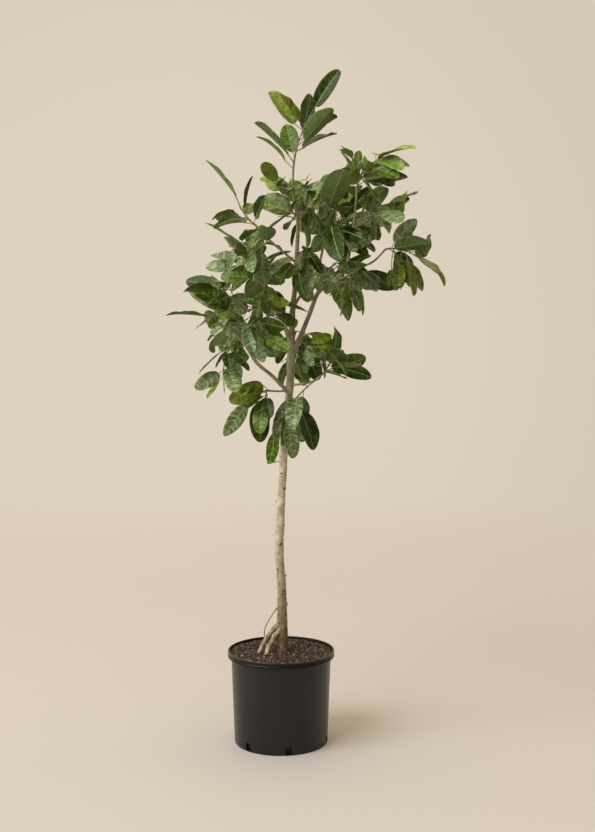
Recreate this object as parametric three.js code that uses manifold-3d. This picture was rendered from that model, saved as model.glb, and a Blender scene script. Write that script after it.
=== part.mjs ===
// A potted ficus grown as a small standard tree: one slim trunk, a few bent boughs and an open
// crown of broad leaves, in a round black nursery pot full of potting mix.
// Sizes are millimetres and +Z is up. The origin is the centre of the pot's flat underside. Seen from
// the front, +X is to the right and +Y is to the back.

import * as THREE from "three";
import { mergeVertices } from "three/addons/utils/BufferGeometryUtils.js";
import Module from "manifold-3d";

const wasm = await Module();
wasm.setup();

const DEGREE = Math.PI / 180;
// How far apart two separate solids stay where they meet.
const GAP = 0.3;

// The pot: a straight tapered wall that steps out at a shoulder to a deep rim with a groove round
// it, and three pairs of drainage holes at the foot of the wall, at angles in degrees from the front.
const POT = {
  height: 243,
  footRadius: 121.8,
  neckRadius: 130.2,
  rimRadius: 139.5,
  rimDepth: 16,
  lip: 4,
  shoulderTop: 235.5,
  shoulderBottom: 231,
  bevel: 1.5,
  groove: 1.6,
  grooveDrop: 8.5,
  wall: 2.6,
  floor: 3,
  rounding: 3,
  sides: 44,
};
const HOLE = { width: 16.5, bottom: 2, top: 22, depth: 18, proud: 4, pairs: 3, angles: [-42, 10] };
const MIX_TOP = 238;

// Limbs. Each row is a station along the limb: x, y, z and the radius there. A bough names the
// limb that it grows on, and its first station lies on that limb's centreline.
const LIMBS = {
  trunk: {
    sides: 10,
    rows: [
      [4, 0, 226, 16.5],
      [3.5, 0, 262, 13.8],
      [3, 0, 336, 12],
      [2, 0, 408, 10.7],
      [-4, 2, 495, 10.3],
      [-2, 3, 566, 10.3],
      [1, 3, 640, 9.6],
      [5, 2, 704, 9.5],
      [7, 0, 760, 10],
      [13, 0, 832, 9.6],
      [21, 0, 905, 9.4],
      [25, 0, 965, 9.5],
      [27, 0, 1040, 8.6],
      [30, 2, 1120, 6.7],
      [37, 4, 1192, 5.3],
      [41, 5, 1270, 4.6],
      [44, 4, 1345, 4],
      [38, 2, 1390, 3.7],
      [31, 0, 1440, 3.2],
      [31, 0, 1462, 3],
    ],
  },
  bough_right: {
    on: "trunk",
    sides: 8,
    rows: [
      [27, 0, 1012, 6.5],
      [57, 0, 1076, 6],
      [78, -2, 1128, 5.7],
      [95, -6, 1170, 5.4],
      [126, -12, 1197, 5],
      [150, -18, 1213, 4.6],
    ],
  },
  bough_right_upper: {
    on: "bough_right",
    sides: 8,
    rows: [
      [150, -18, 1213, 4.2],
      [168, -20, 1240, 4],
      [177, -20, 1285, 3.6],
      [184, -16, 1330, 3.3],
      [192, -6, 1400, 2.9],
      [194, -2, 1430, 2.7],
    ],
  },
  bough_right_outer: {
    on: "bough_right",
    sides: 6,
    rows: [
      [132, -13, 1200, 3.4],
      [170, -28, 1213, 3.1],
      [204, -30, 1234, 2.8],
      [237, -28, 1251, 2.5],
      [262, -22, 1276, 2.2],
    ],
  },
  bough_cross: {
    on: "bough_right",
    sides: 6,
    rows: [
      [100, -7, 1175, 3.6],
      [62, -26, 1226, 3.3],
      [30, -40, 1254, 3],
      [-20, -50, 1295, 2.7],
      [-58, -56, 1334, 2.4],
    ],
  },
  bough_left: {
    on: "trunk",
    sides: 8,
    rows: [
      [20, 0, 915, 5.2],
      [-22, -16, 959, 4.8],
      [-60, -32, 992, 4.5],
      [-88, -46, 1036, 4.2],
      [-112, -54, 1066, 3.7],
    ],
  },
  bough_low_right: {
    on: "trunk",
    sides: 6,
    rows: [
      [23, 0, 935, 3.2],
      [50, -20, 938, 2.9],
      [83, -32, 946, 2.6],
      [104, -38, 962, 2.4],
    ],
  },
  bough_low_left: {
    on: "trunk",
    sides: 6,
    rows: [
      [21, 0, 923, 3],
      [-2, -24, 920, 2.7],
      [-25, -44, 922, 2.4],
    ],
  },
  bough_rear_left: {
    on: "trunk",
    sides: 8,
    rows: [
      [27, 0, 1030, 5],
      [10, 50, 1080, 4.6],
      [-20, 95, 1130, 4.2],
      [-40, 120, 1180, 3.7],
    ],
  },
  bough_rear_right: {
    on: "trunk",
    sides: 8,
    rows: [
      [31, 2, 1135, 4.4],
      [60, 50, 1180, 4],
      [95, 95, 1235, 3.6],
      [110, 120, 1290, 3.2],
    ],
  },
};
const ROWS_PER_STATION = 4;

// Roots above the mix, as stations: each starts inside the trunk and is cut off where it enters
// the mix.
const ROOT_SIDES = 5;
const ROOTS = [
  [
    [0, 0, 314, 7.5],
    [-22, -3, 293, 6.6],
    [-44, -4, 263, 5.6],
    [-60, -6, 230, 4.6],
  ],
  [
    [2, -4, 300, 7.5],
    [-14, -12, 283, 6.6],
    [-29, -16, 258, 5.8],
    [-42, -18, 228, 4.8],
  ],
  [
    [0, 2, 366, 1.8],
    [-30, 8, 322, 1.4],
    [-44, 14, 288, 1.3],
    [-40, 22, 256, 1.3],
    [-34, 28, 228, 1.2],
  ],
];

// Masses of foliage. A mass has one stem, from the limb "on" at the share "at" of its length (1 is
// the tip), past "bend" to "end". "leaves" grow along the stem and more on each side twig; "leaf"
// is their usual length.
const MASSES = {
  leader: {
    on: "trunk", at: 1, bend: [33, -2, 1545], end: [72, -4, 1612],
    leaves: 12, twigs: 0, leaf: 124, seed: 55792,
  },
  neck_left: {
    on: "trunk", at: 0.86, bend: [12, -22, 1395], end: [-4, -30, 1440],
    leaves: 8, twigs: 0, leaf: 100, seed: 32855,
  },
  neck_right: {
    on: "trunk", at: 0.91, bend: [62, -8, 1418], end: [98, -14, 1440],
    leaves: 9, twigs: 0, leaf: 100, seed: 78696,
  },
  upper_left: {
    on: "bough_cross", at: 1, bend: [-80, -60, 1350], end: [-98, -64, 1378],
    leaves: 10, twigs: 0, leaf: 98, seed: 84462,
  },
  mid_left: {
    on: "bough_cross", at: 0.78, bend: [-45, -70, 1290], end: [-88, -84, 1250],
    leaves: 10, twigs: 0, leaf: 98, seed: 75730,
  },
  high_left: {
    on: "bough_left", at: 0.92, bend: [-100, -64, 1120], end: [-132, -74, 1196],
    leaves: 11, twigs: 1, leaf: 112, seed: 79957,
  },
  left_end: {
    on: "bough_left", at: 1, bend: [-135, -58, 1082], end: [-164, -64, 1094],
    leaves: 10, twigs: 0, leaf: 110, seed: 67453,
  },
  droop: {
    on: "bough_left", at: 0.97, bend: [-150, -90, 1020], end: [-140, -100, 930],
    leaves: 9, twigs: 0, leaf: 88, seed: 66971,
  },
  level: {
    on: "bough_left", at: 0.66, bend: [-66, -70, 1060], end: [-52, -90, 1086],
    leaves: 8, twigs: 0, leaf: 112, seed: 96817,
  },
  low_left: {
    on: "bough_low_left", at: 1, bend: [-44, -66, 926], end: [-70, -86, 905],
    leaves: 8, twigs: 0, leaf: 104, seed: 1525,
  },
  low_front: {
    on: "bough_low_right", at: 0.72, bend: [38, -72, 912], end: [-14, -92, 838],
    leaves: 12, twigs: 0, leaf: 102, seed: 13765,
  },
  low_right: {
    on: "bough_low_right", at: 1, bend: [118, -44, 975], end: [132, -50, 1010],
    leaves: 10, twigs: 1, leaf: 99, seed: 9529,
  },
  right_lower: {
    on: "bough_right", at: 0.84, bend: [150, -50, 1195], end: [196, -66, 1196],
    leaves: 10, twigs: 0, leaf: 102, seed: 4665,
  },
  right_outer: {
    on: "bough_right_outer", at: 1, bend: [295, -20, 1290], end: [338, -22, 1268],
    leaves: 10, twigs: 0, leaf: 105, seed: 19208,
  },
  right_mid: {
    on: "bough_right_upper", at: 0.62, bend: [225, -30, 1350], end: [272, -44, 1378],
    leaves: 10, twigs: 1, leaf: 108, seed: 44306,
  },
  right_top: {
    on: "bough_right_upper", at: 1, bend: [197, 0, 1460], end: [220, 2, 1496],
    leaves: 12, twigs: 1, leaf: 98, seed: 65891,
  },
  front_centre: {
    on: "bough_right_upper", at: 0.35, bend: [140, -64, 1300], end: [112, -88, 1340],
    leaves: 11, twigs: 0, leaf: 116, seed: 80767,
  },
  centre_low: {
    on: "trunk", at: 0.73, bend: [44, -50, 1255], end: [52, -100, 1262],
    leaves: 10, twigs: 0, leaf: 90, seed: 56307,
  },
  centre_left: {
    on: "trunk", at: 0.63, bend: [0, -40, 1160], end: [-42, -60, 1190],
    leaves: 10, twigs: 1, leaf: 96, seed: 5668,
  },
  rear_top: {
    on: "trunk", at: 0.85, bend: [60, 60, 1380], end: [80, 120, 1400],
    leaves: 10, twigs: 0, leaf: 102, seed: 69933,
  },
  rear_left: {
    on: "bough_rear_left", at: 1, bend: [-50, 135, 1210], end: [-64, 150, 1262],
    leaves: 10, twigs: 1, leaf: 104, seed: 64078,
  },
  rear_left_low: {
    on: "bough_rear_left", at: 0.6, bend: [-60, 110, 1130], end: [-96, 130, 1130],
    leaves: 9, twigs: 0, leaf: 100, seed: 790,
  },
  rear_right: {
    on: "bough_rear_right", at: 1, bend: [130, 132, 1330], end: [156, 140, 1376],
    leaves: 10, twigs: 1, leaf: 104, seed: 88225,
  },
  rear_right_low: {
    on: "bough_rear_right", at: 0.55, bend: [130, 90, 1220], end: [182, 110, 1226],
    leaves: 10, twigs: 0, leaf: 102, seed: 97016,
  },
  rear_low: {
    on: "trunk", at: 0.57, bend: [50, 50, 1065], end: [62, 110, 1070],
    leaves: 8, twigs: 0, leaf: 98, seed: 44808,
  },
};

// The stem of a mass, its side twigs, and where leaves stand on them. Shares of a line run from 0
// at its start to 1 at its tip, and a branch is at most so much of the radius that carries it.
const STEM = { radius: 2.3, tip: 1.2, share: 0.7, steps: 10, sides: 4, collar: 6 };
const TWIG = {
  radius: 1.9,
  tip: 1.1,
  share: 0.85,
  steps: 4,
  sides: 3,
  leaves: 5,
  from: [0.3, 0.6],
  reach: [60, 100],
  bow: 0.5,
};
const NODE = { first: 0.12, crowding: 1.15, last: 0.995, glance: 0.05 };

// How a leaf grows. Lengths are shares of the mass's usual leaf length, "lean" is off the twig,
// "roll" is about the leaf's own length, and "hang" is how far all the leaves of a mass sag.
const LEAF = {
  tries: 8,
  turn: 137.5 * DEGREE,
  wander: [-0.6, 0.6],
  retry: { turn: 0.9, shrink: 0.04 },
  length: [0.78, 1.14],
  lean: [40 * DEGREE, 84 * DEGREE],
  petiole: [0.2, 0.34],
  hang: [0, 0.85],
  sag: 0.25,
  droop: [-0.6, 0.6],
  roll: [-65 * DEGREE, 65 * DEGREE],
  width: [0.4, 0.57],
  arch: [-0.1, 0.65],
  fold: [4 * DEGREE, 24 * DEGREE],
};
const LAST_LEAF = { length: 1.1, lean: [12 * DEGREE, 42 * DEGREE], droop: 0.35 };
// Leaves face up, out from the trunk and forward to the light.
const LIGHT = { middle: 30, across: 250, depth: 500, front: 0.5 };
// The outline of a blade: how far its widest place lies past the middle, and how blunt its ends are.
const OUTLINE = { skew: 0.92, bluntness: 0.62 };
const LEAF_SOLID = { thickness: 2.4, root: 1.3, neck: 1.56, stations: [0.27, 0.72] };

// What a new leaf keeps clear of: limbs, its own mass's twigs and its neighbours.
const CLEAR = { limb: 6, petiole: 3, twig: 4, leaf: 13 };
const SPACE = { margin: 2, reach: 520 };
// How a limb's solid is slid back to its seat: by steps, and among faces this near.
const SEAT = { step: 0.05, furthest: 4, reach: 20 };
// How near things have to be to be tested against each other at all.
const NEAR = { mass: 300, leaf: 170, blade: 0.55, edge: 8 };
const BALL_SPACING = 7;
const COARSE = { rows: [0.06, 0.28, 0.5, 0.72, 0.95], columns: [-0.9, -0.45, 0, 0.45, 0.9] };
const FINE = { rows: [0.02, 0.12, 0.24, 0.36, 0.48, 0.6, 0.72, 0.84, 0.96], columns: [-1, -0.5, 0, 0.5, 1] };
const MIDDLE = 12;

const COLOUR = { pot: 0x2b2a27, mix: 0x4a3426, bark: 0xa3977e, leaf: 0x3f6b2a };

// Seeded dice, so that the tree always grows the same.
const DICE = { modulus: 2147483647, factor: 48271, spread: 7919, offset: 13 };
class Dice {
  constructor(seed) {
    this.state = (seed * DICE.spread + DICE.offset) % DICE.modulus;
  }
  roll() {
    this.state = (this.state * DICE.factor) % DICE.modulus;
    return this.state / DICE.modulus;
  }
  between(low, high) {
    return low + (high - low) * this.roll();
  }
}

const UP = new THREE.Vector3(0, 0, 1);
const DOWN = new THREE.Vector3(0, 0, -1);
const FRONT = new THREE.Vector3(0, -1, 0);
const vector = (x, y, z) => new THREE.Vector3(x, y, z);
const stepped = (from, direction, distance) => from.clone().addScaledVector(direction, distance);
const turned = (direction, axis, angle) => direction.clone().applyAxisAngle(axis, angle);
const crossed = (a, b) => new THREE.Vector3().crossVectors(a, b);

// The unit direction square to an axis that lies nearest to a hint.
function squareTo(axis, hint) {
  const side = stepped(hint, axis, -axis.dot(hint));
  if (side.length() < 1e-3) {
    const other = Math.abs(axis.x) < 0.9 ? vector(1, 0, 0) : vector(0, 1, 0);
    side.crossVectors(axis, other);
  }
  return side.normalize();
}

// A smooth line through the stations, as rows of a point and a radius.
function smoothRows(stations) {
  const last = stations.length - 1;
  const rows = [];
  for (let i = 0; i < last; i++) {
    const four = [Math.max(i - 1, 0), i, i + 1, Math.min(i + 2, last)].map((k) => stations[k]);
    for (let j = 0; j < ROWS_PER_STATION; j++) {
      const t = j / ROWS_PER_STATION;
      rows.push([0, 1, 2, 3].map((k) => catmullRom(...four.map((row) => row[k]), t)));
    }
  }
  rows.push(stations[last]);
  return rows.map(([x, y, z, radius]) => ({ point: vector(x, y, z), radius }));
}

function catmullRom(a, b, c, d, t) {
  const slope = (c - a) * t;
  const bend = (2 * a - 5 * b + 4 * c - d) * t * t;
  const twist = (3 * b - 3 * c + d - a) * t ** 3;
  return 0.5 * (2 * b + slope + bend + twist);
}

// Rows along a bend from one point to another, tapering evenly.
function bentRows(from, bend, to, steps, radius, tipRadius) {
  const curve = new THREE.QuadraticBezierCurve3(from, bend, to);
  return Array.from({ length: steps + 1 }, (_, i) => ({
    point: curve.getPoint(i / steps),
    radius: radius + (tipRadius - radius) * (i / steps),
  }));
}

// The row at a share of a limb's length.
function rowAt(rows, share) {
  const k = share * (rows.length - 1);
  const i = Math.min(Math.floor(k), rows.length - 2);
  return {
    point: rows[i].point.clone().lerp(rows[i + 1].point, k - i),
    radius: rows[i].radius + (rows[i + 1].radius - rows[i].radius) * (k - i),
  };
}

// How far a point lies outside a limb.
function distanceOutside(point, rows) {
  let nearest = Infinity;
  for (let i = 0; i < rows.length - 1; i++) {
    const a = rows[i];
    const b = rows[i + 1];
    const span = b.point.clone().sub(a.point);
    const along = THREE.MathUtils.clamp(point.clone().sub(a.point).dot(span) / span.lengthSq(), 0, 1);
    const radius = a.radius + (b.radius - a.radius) * along;
    nearest = Math.min(nearest, point.distanceTo(stepped(a.point, span, along)) - radius);
  }
  return nearest;
}

// Cuts the start off a limb so that its flat end just clears the limb that carries it.
function startClearOf(rows, host) {
  const STEP = 0.5;
  for (let i = 0; i < rows.length - 1; i++) {
    const span = rows[i + 1].point.clone().sub(rows[i].point);
    const steps = Math.max(1, Math.floor(span.length() / STEP));
    for (let j = 0; j < steps; j++) {
      const row = rowAt([rows[i], rows[i + 1]], j / steps);
      const ahead = span.clone().normalize();
      const face = circle(row.point, squareTo(ahead, UP), ahead, row.radius, 8);
      if (face.every((point) => distanceOutside(point, host) >= GAP)) {
        return [row, ...rows.slice(i + 1)];
      }
    }
  }
  throw new Error("a limb never leaves the one that carries it");
}

// Points round a circle about an axis, from one side onwards.
function circle(centre, side, axis, radius, count) {
  return Array.from({ length: count }, (_, k) =>
    stepped(centre, turned(side, axis, (k * 2 * Math.PI) / count), radius),
  );
}

function growLimbs() {
  const grown = {};
  for (const [name, { on, rows }] of Object.entries(LIMBS)) {
    const smooth = smoothRows(rows);
    grown[name] = on ? startClearOf(smooth, grown[on]) : smooth;
  }
  return grown;
}

// The stem of a mass, from just clear of its limb to its end.
function stemRows({ on, at, bend, end }, limbs) {
  const host = limbs[on];
  if (at < 1) {
    const { point, radius } = rowAt(host, at);
    const base = Math.min(STEM.radius, radius * STEM.share);
    return startClearOf(bentRows(point, vector(...bend), vector(...end), STEM.steps, base, STEM.tip), host);
  }
  const tip = host.at(-1);
  const onward = tip.point.clone().sub(host.at(-2).point).normalize();
  const collar = stepped(tip.point, onward, GAP + STEM.collar);
  const rows = bentRows(collar, vector(...bend), vector(...end), STEM.steps - 2, tip.radius, STEM.tip);
  return [{ point: stepped(tip.point, onward, GAP), radius: tip.radius }, ...rows];
}

const heartOf = (stem) => stem[0].point.clone().lerp(stem.at(-1).point, 0.5);

// The space of each mass: the part of the crown that is nearer to the middle of its own stem than
// to that of any other stem, less a margin. It is kept as the planes that bound it.
function spaceOf(heart, others) {
  return others
    .filter((other) => other.distanceTo(heart) <= SPACE.reach)
    .map((other) => {
      const normal = other.clone().sub(heart).normalize();
      return { normal, limit: normal.dot(heart.clone().lerp(other, 0.5)) - SPACE.margin };
    });
}

const inSpace = (space, point) => space.every(({ normal, limit }) => normal.dot(point) <= limit);

// Balls along the limbs, close enough together to stand for them.
function ballsAlong(lines) {
  const balls = [];
  for (const rows of lines) {
    for (let i = 0; i < rows.length - 1; i++) {
      const span = rows[i].point.distanceTo(rows[i + 1].point);
      const count = Math.max(1, Math.floor(span / BALL_SPACING));
      for (let j = 0; j < count; j++) {
        balls.push(rowAt([rows[i], rows[i + 1]], j / count));
      }
    }
  }
  return balls;
}

const ballsNear = (balls, centre, reach) =>
  balls.filter(({ point, radius }) => point.distanceTo(centre) < reach + radius);

const clearOf = (points, balls, gap) =>
  points.every((a) => balls.every(({ point, radius }) => a.distanceTo(point) >= radius + gap));

// A point of a leaf's blade: "along" runs from 0 at its base to 1 at its tip, "across" from -1 to 1.
// The blade bends down along its length by "arch" and its halves rise from the midrib by "fold".
function bladePoint({ base, axis, normal, side, length, width, arch, fold }, along, across) {
  const bend = arch * along;
  const flat = Math.abs(arch) < 1e-6;
  const forward = flat ? length * along : (length * Math.sin(bend)) / arch;
  const down = flat ? 0 : (length * (1 - Math.cos(bend))) / arch;
  const reach = halfWidth(along) * width * across;
  const lift = bladeNormal({ axis, normal, arch }, along);
  const point = stepped(stepped(base, axis, forward), normal, -down);
  point.addScaledVector(side, reach * Math.cos(fold));
  return point.addScaledVector(lift, Math.abs(reach) * Math.sin(fold));
}

const bladeNormal = ({ axis, normal, arch }, along) =>
  stepped(normal.clone().multiplyScalar(Math.cos(arch * along)), axis, Math.sin(arch * along));

// The blade's half width as a share of its width: an oblong oval with blunt ends.
const halfWidth = (along) =>
  along > 0 && along < 1 ? 0.5 * Math.sin(Math.PI * along ** OUTLINE.skew) ** OUTLINE.bluntness : 0;

// Points spread over a blade, for the tests of what it would touch.
const bladeGrid = (leaf, { rows, columns }) =>
  rows.flatMap((along) => columns.map((across) => bladePoint(leaf, along, across)));

// Grows a mass by its seed: side twigs off the stem, then leaves spiralling up each of them. A twig
// or leaf that would leave the mass's space, or touch a limb or another leaf, is turned and tried
// again, and skipped if it never fits.
function growMass(mass, stem, space, obstacles) {
  const dice = new Dice(mass.seed);
  const limbs = ballsNear(obstacles, heartOf(stem), NEAR.mass);
  const hang = dice.between(...LEAF.hang);
  const twigs = [{ rows: stem, count: mass.leaves }];
  for (let k = 0; k < mass.twigs; k++) {
    const rows = sideTwig(stem, dice);
    const free = rows.slice(1);
    const clear = free.every(({ point, radius }) => clearOf([point], limbs, radius + CLEAR.petiole));
    if (clear && free.every(({ point }) => inSpace(space, point))) {
      twigs.push({ rows, count: TWIG.leaves });
    }
  }
  const own = twigs.flatMap(({ rows }) => rows);
  const leaves = [];
  for (const { rows, count } of twigs) {
    let spin = dice.between(0, 2 * Math.PI);
    for (let i = 0; i < count; i++) {
      spin += LEAF.turn;
      const node = nodeAt(rows, i / (count - 1));
      const way = { spin, hang, last: i === count - 1, size: mass.leaf };
      const leaf = inSpace(space, node.point) && growLeaf(node, way, dice, { space, limbs, own, leaves });
      if (leaf) leaves.push(leaf);
    }
  }
  return { twigs, leaves };
}

function sideTwig(stem, dice) {
  const along = stem.at(-1).point.clone().sub(stem[0].point).normalize();
  const { point, radius } = rowAt(stem, dice.between(...TWIG.from));
  const radial = turned(squareTo(along, UP), along, dice.between(0, 2 * Math.PI));
  const outward = along.clone().add(radial).normalize();
  const reach = dice.between(...TWIG.reach);
  const bend = stepped(point, stepped(outward, radial, TWIG.bow).normalize(), reach / 2);
  const base = Math.min(TWIG.radius, radius * TWIG.share);
  return bentRows(point, bend, stepped(point, outward, reach), TWIG.steps, base, TWIG.tip);
}

// Where a leaf grows on a twig, and which way the twig runs there. Leaves crowd towards the tip.
function nodeAt(rows, far) {
  const share = NODE.first + (1 - NODE.first) * (1 - (1 - far) ** NODE.crowding);
  const ahead = rowAt(rows, Math.min(share + NODE.glance, 1)).point;
  ahead.sub(rowAt(rows, Math.max(share - NODE.glance, 0)).point).normalize();
  return { point: rowAt(rows, Math.min(share, NODE.last)).point, ahead };
}

function growLeaf(node, way, dice, around) {
  for (let attempt = 0; attempt < LEAF.tries; attempt++) {
    const leaf = proposeLeaf(node, way, attempt, dice);
    if (fits(leaf, around)) return leaf;
  }
  return null;
}

// One way for a leaf to grow. Its petiole leaves the twig at an angle and sags, the blade hangs
// further, and its face turns to the light.
function proposeLeaf({ point, ahead }, { spin, hang, last, size }, attempt, dice) {
  const share = dice.between(...LEAF.length) * (1 - LEAF.retry.shrink * attempt);
  const length = size * share * (last ? LAST_LEAF.length : 1);
  const azimuth = spin + dice.between(...LEAF.wander) + attempt * LEAF.retry.turn;
  const lean = dice.between(...(last ? LAST_LEAF.lean : LEAF.lean));
  const radial = turned(squareTo(ahead, UP), ahead, azimuth);
  const out = ahead.clone().multiplyScalar(Math.cos(lean)).addScaledVector(radial, Math.sin(lean));
  const petiole = length * dice.between(...LEAF.petiole);
  const knee = stepped(point, out, petiole / 2);
  const sagging = stepped(out, DOWN, LEAF.sag * hang).normalize();
  const base = stepped(knee, sagging, petiole / 2);
  const droop = (hang + dice.between(...LEAF.droop)) * (last ? LAST_LEAF.droop : 1);
  const axis = stepped(sagging, DOWN, droop).normalize();
  const light = vector((base.x - LIGHT.middle) / LIGHT.across, base.y / LIGHT.depth - LIGHT.front, 1);
  const normal = turned(squareTo(axis, light), axis, dice.between(...LEAF.roll));
  const width = length * dice.between(...LEAF.width);
  const arch = dice.between(...LEAF.arch);
  const fold = dice.between(...LEAF.fold);
  return { root: point, knee, base, axis, normal, side: crossed(axis, normal), length, width, arch, fold };
}

function fits(leaf, { space, limbs, own, leaves }) {
  const ends = [bladePoint(leaf, 1, 0), leaf.base, leaf.knee];
  if (!ends.every((point) => inSpace(space, point))) return false;
  leaf.grid = bladeGrid(leaf, COARSE);
  if (!leaf.grid.every((point) => inSpace(space, point))) return false;
  const near = ballsNear(limbs, leaf.grid[MIDDLE], leaf.length * NEAR.blade + NEAR.edge);
  if (near.length && !clearOf(bladeGrid(leaf, FINE), near, CLEAR.limb)) return false;
  if (!clearOf([leaf.knee, leaf.base], limbs, CLEAR.petiole)) return false;
  if (!clearOf(leaf.grid.slice(COARSE.columns.length), own, CLEAR.twig)) return false;
  return leaves.every((other) => gridGap(leaf.grid, other.grid) >= CLEAR.leaf);
}

function gridGap(a, b) {
  if (a[MIDDLE].distanceTo(b[MIDDLE]) > NEAR.leaf) return Infinity;
  return Math.min(...a.flatMap((p) => b.map((q) => p.distanceTo(q))));
}

// A closed skin over rings of points, with a flat start and a flat end or a single end point.
function loft(rings) {
  const positions = rings.flat().flatMap((point) => point.toArray());
  const count = rings[0].length;
  const faces = [];
  for (let i = 0; i < rings.length - 1; i++) {
    const a = i * count;
    const b = a + count;
    for (let k = 0; k < count; k++) {
      const next = (k + 1) % count;
      if (rings[i + 1].length === 1) {
        faces.push(a + k, a + next, b);
      } else {
        faces.push(a + k, a + next, b + next, a + k, b + next, b + k);
      }
    }
  }
  for (let k = 1; k < count - 1; k++) {
    faces.push(0, k + 1, k);
    if (rings.at(-1).length > 1) {
      const end = (rings.length - 1) * count;
      faces.push(end, end + k, end + k + 1);
    }
  }
  const geometry = new THREE.BufferGeometry();
  geometry.setAttribute("position", new THREE.Float32BufferAttribute(positions, 3));
  geometry.setIndex(faces);
  return geometry;
}

// A round tube that follows rows of points and radii, its rings square to the line.
function tube(rows, sides) {
  let side = FRONT;
  const rings = rows.map(({ point, radius }, i) => {
    const ahead = rows[Math.min(i + 1, rows.length - 1)].point.clone();
    ahead.sub(rows[Math.max(i - 1, 0)].point).normalize();
    side = squareTo(ahead, side);
    return circle(point, side, ahead, radius, sides);
  });
  return loft(rings);
}

// Every second row is enough for a solid, the even or the odd ones, with both ends kept.
const thinned = (rows, odd = 0) =>
  rows.filter((_, i) => i % 2 === odd || i === 0 || i === rows.length - 1);

// Points spread over the flat start of a tube.
function startFace([{ point, radius }, next], sides) {
  const ahead = next.point.clone().sub(point).normalize();
  const rim = circle(point, squareTo(ahead, FRONT), ahead, radius, sides);
  const edges = rim.map((corner, k) => corner.clone().lerp(rim[(k + 1) % sides], 0.5));
  const inner = edges.map((edge) => edge.clone().lerp(point, 0.5));
  return [point, ...rim, ...edges, ...inner];
}

function facesOf(geometry) {
  const corners = geometry.toNonIndexed().attributes.position;
  return Array.from({ length: corners.count / 3 }, (_, i) =>
    new THREE.Triangle().setFromAttributeAndIndices(corners, 3 * i, 3 * i + 1, 3 * i + 2),
  );
}

const distanceTo = (face, point) => face.closestPointToPoint(point, vector()).distanceTo(point);

// Rows for a tube whose start is slid back along its own line until it just clears the flat faces
// of what carries it, which lie a little inside the round limb that they stand for.
function seated(rows, sides, hostFaces) {
  const { step, furthest, reach } = SEAT;
  const [first, ...rest] = rows;
  const back = first.point.clone().sub(rest[0].point).normalize();
  const near = hostFaces.filter((face) => distanceTo(face, first.point) < reach);
  let start = first;
  for (let slide = step; slide <= furthest; slide += step) {
    const moved = { point: stepped(first.point, back, slide), radius: first.radius };
    const points = startFace([moved, ...rest], sides);
    if (points.some((point) => near.some((face) => distanceTo(face, point) < GAP))) break;
    start = moved;
  }
  return [start, ...rest];
}

// A leaf's solid: a thin petiole that opens into a folded blade, thickest along its midrib.
function leafSolid(leaf) {
  const { root, base, side, normal } = leaf;
  const { thickness, root: rootRadius, neck, stations } = LEAF_SOLID;
  const down = base.clone().sub(root).normalize();
  const across = squareTo(down, side);
  const blade = stations.map((along) => {
    const middle = bladePoint(leaf, along, 0);
    const [right, left] = [1, -1].map((edge) => bladePoint(leaf, along, edge));
    return diamond(middle, right, left, bladeNormal(leaf, along), thickness / 2);
  });
  const ends = [
    [root, across, crossed(across, down), rootRadius, rootRadius],
    [base, side, normal, neck, thickness / 2],
  ];
  const petiole = ends.map(([centre, right, top, reach, rise]) =>
    diamond(centre, stepped(centre, right, reach), stepped(centre, right, -reach), top, rise),
  );
  return loft([...petiole, ...blade, [bladePoint(leaf, 1, 0)]]);
}

// A ring of four points: above the middle, right, below the middle, left.
const diamond = (middle, right, left, top, rise) => [
  stepped(middle, top, rise),
  right,
  stepped(middle, top, -rise),
  left,
];

// Joins and cuts.
function solid(geometry) {
  const bare = geometry.clone();
  bare.deleteAttribute("normal");
  bare.deleteAttribute("uv");
  const merged = mergeVertices(bare, 1e-3);
  const vertProperties = new Float32Array(merged.attributes.position.array);
  const triVerts = new Uint32Array(merged.index.array);
  return new wasm.Manifold(new wasm.Mesh({ numProp: 3, vertProperties, triVerts }));
}

function geometryOf(manifold) {
  const { vertProperties, triVerts } = manifold.getMesh();
  const geometry = new THREE.BufferGeometry();
  geometry.setAttribute("position", new THREE.BufferAttribute(new Float32Array(vertProperties), 3));
  geometry.setIndex(new THREE.BufferAttribute(new Uint32Array(triVerts), 1));
  geometry.computeVertexNormals();
  return geometry;
}

const joined = (geometries) => geometries.map(solid).reduce((whole, piece) => whole.add(piece));

// A solid of revolution about the vertical, from a profile of radius and height.
function lathe(profile, sides) {
  const points = profile.map(([radius, z]) => new THREE.Vector2(radius, z));
  return new THREE.LatheGeometry(points, sides).rotateX(Math.PI / 2);
}

// The pot and the mix in it.
const wallRadius = (z) =>
  POT.footRadius + ((POT.neckRadius - POT.footRadius) * z) / (POT.height - POT.rimDepth);

// The inner wall from the floor up past the rim's shoulder to a height, moved inwards by a gap.
function innerWall(top, gap) {
  const { footRadius, rimRadius, lip, shoulderTop, shoulderBottom, wall, floor } = POT;
  return [
    [footRadius - wall - gap, floor + gap],
    [wallRadius(shoulderBottom) - wall - gap, shoulderBottom + gap],
    [rimRadius - lip - gap, shoulderTop + gap],
    [rimRadius - lip - gap, top],
  ];
}

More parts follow.
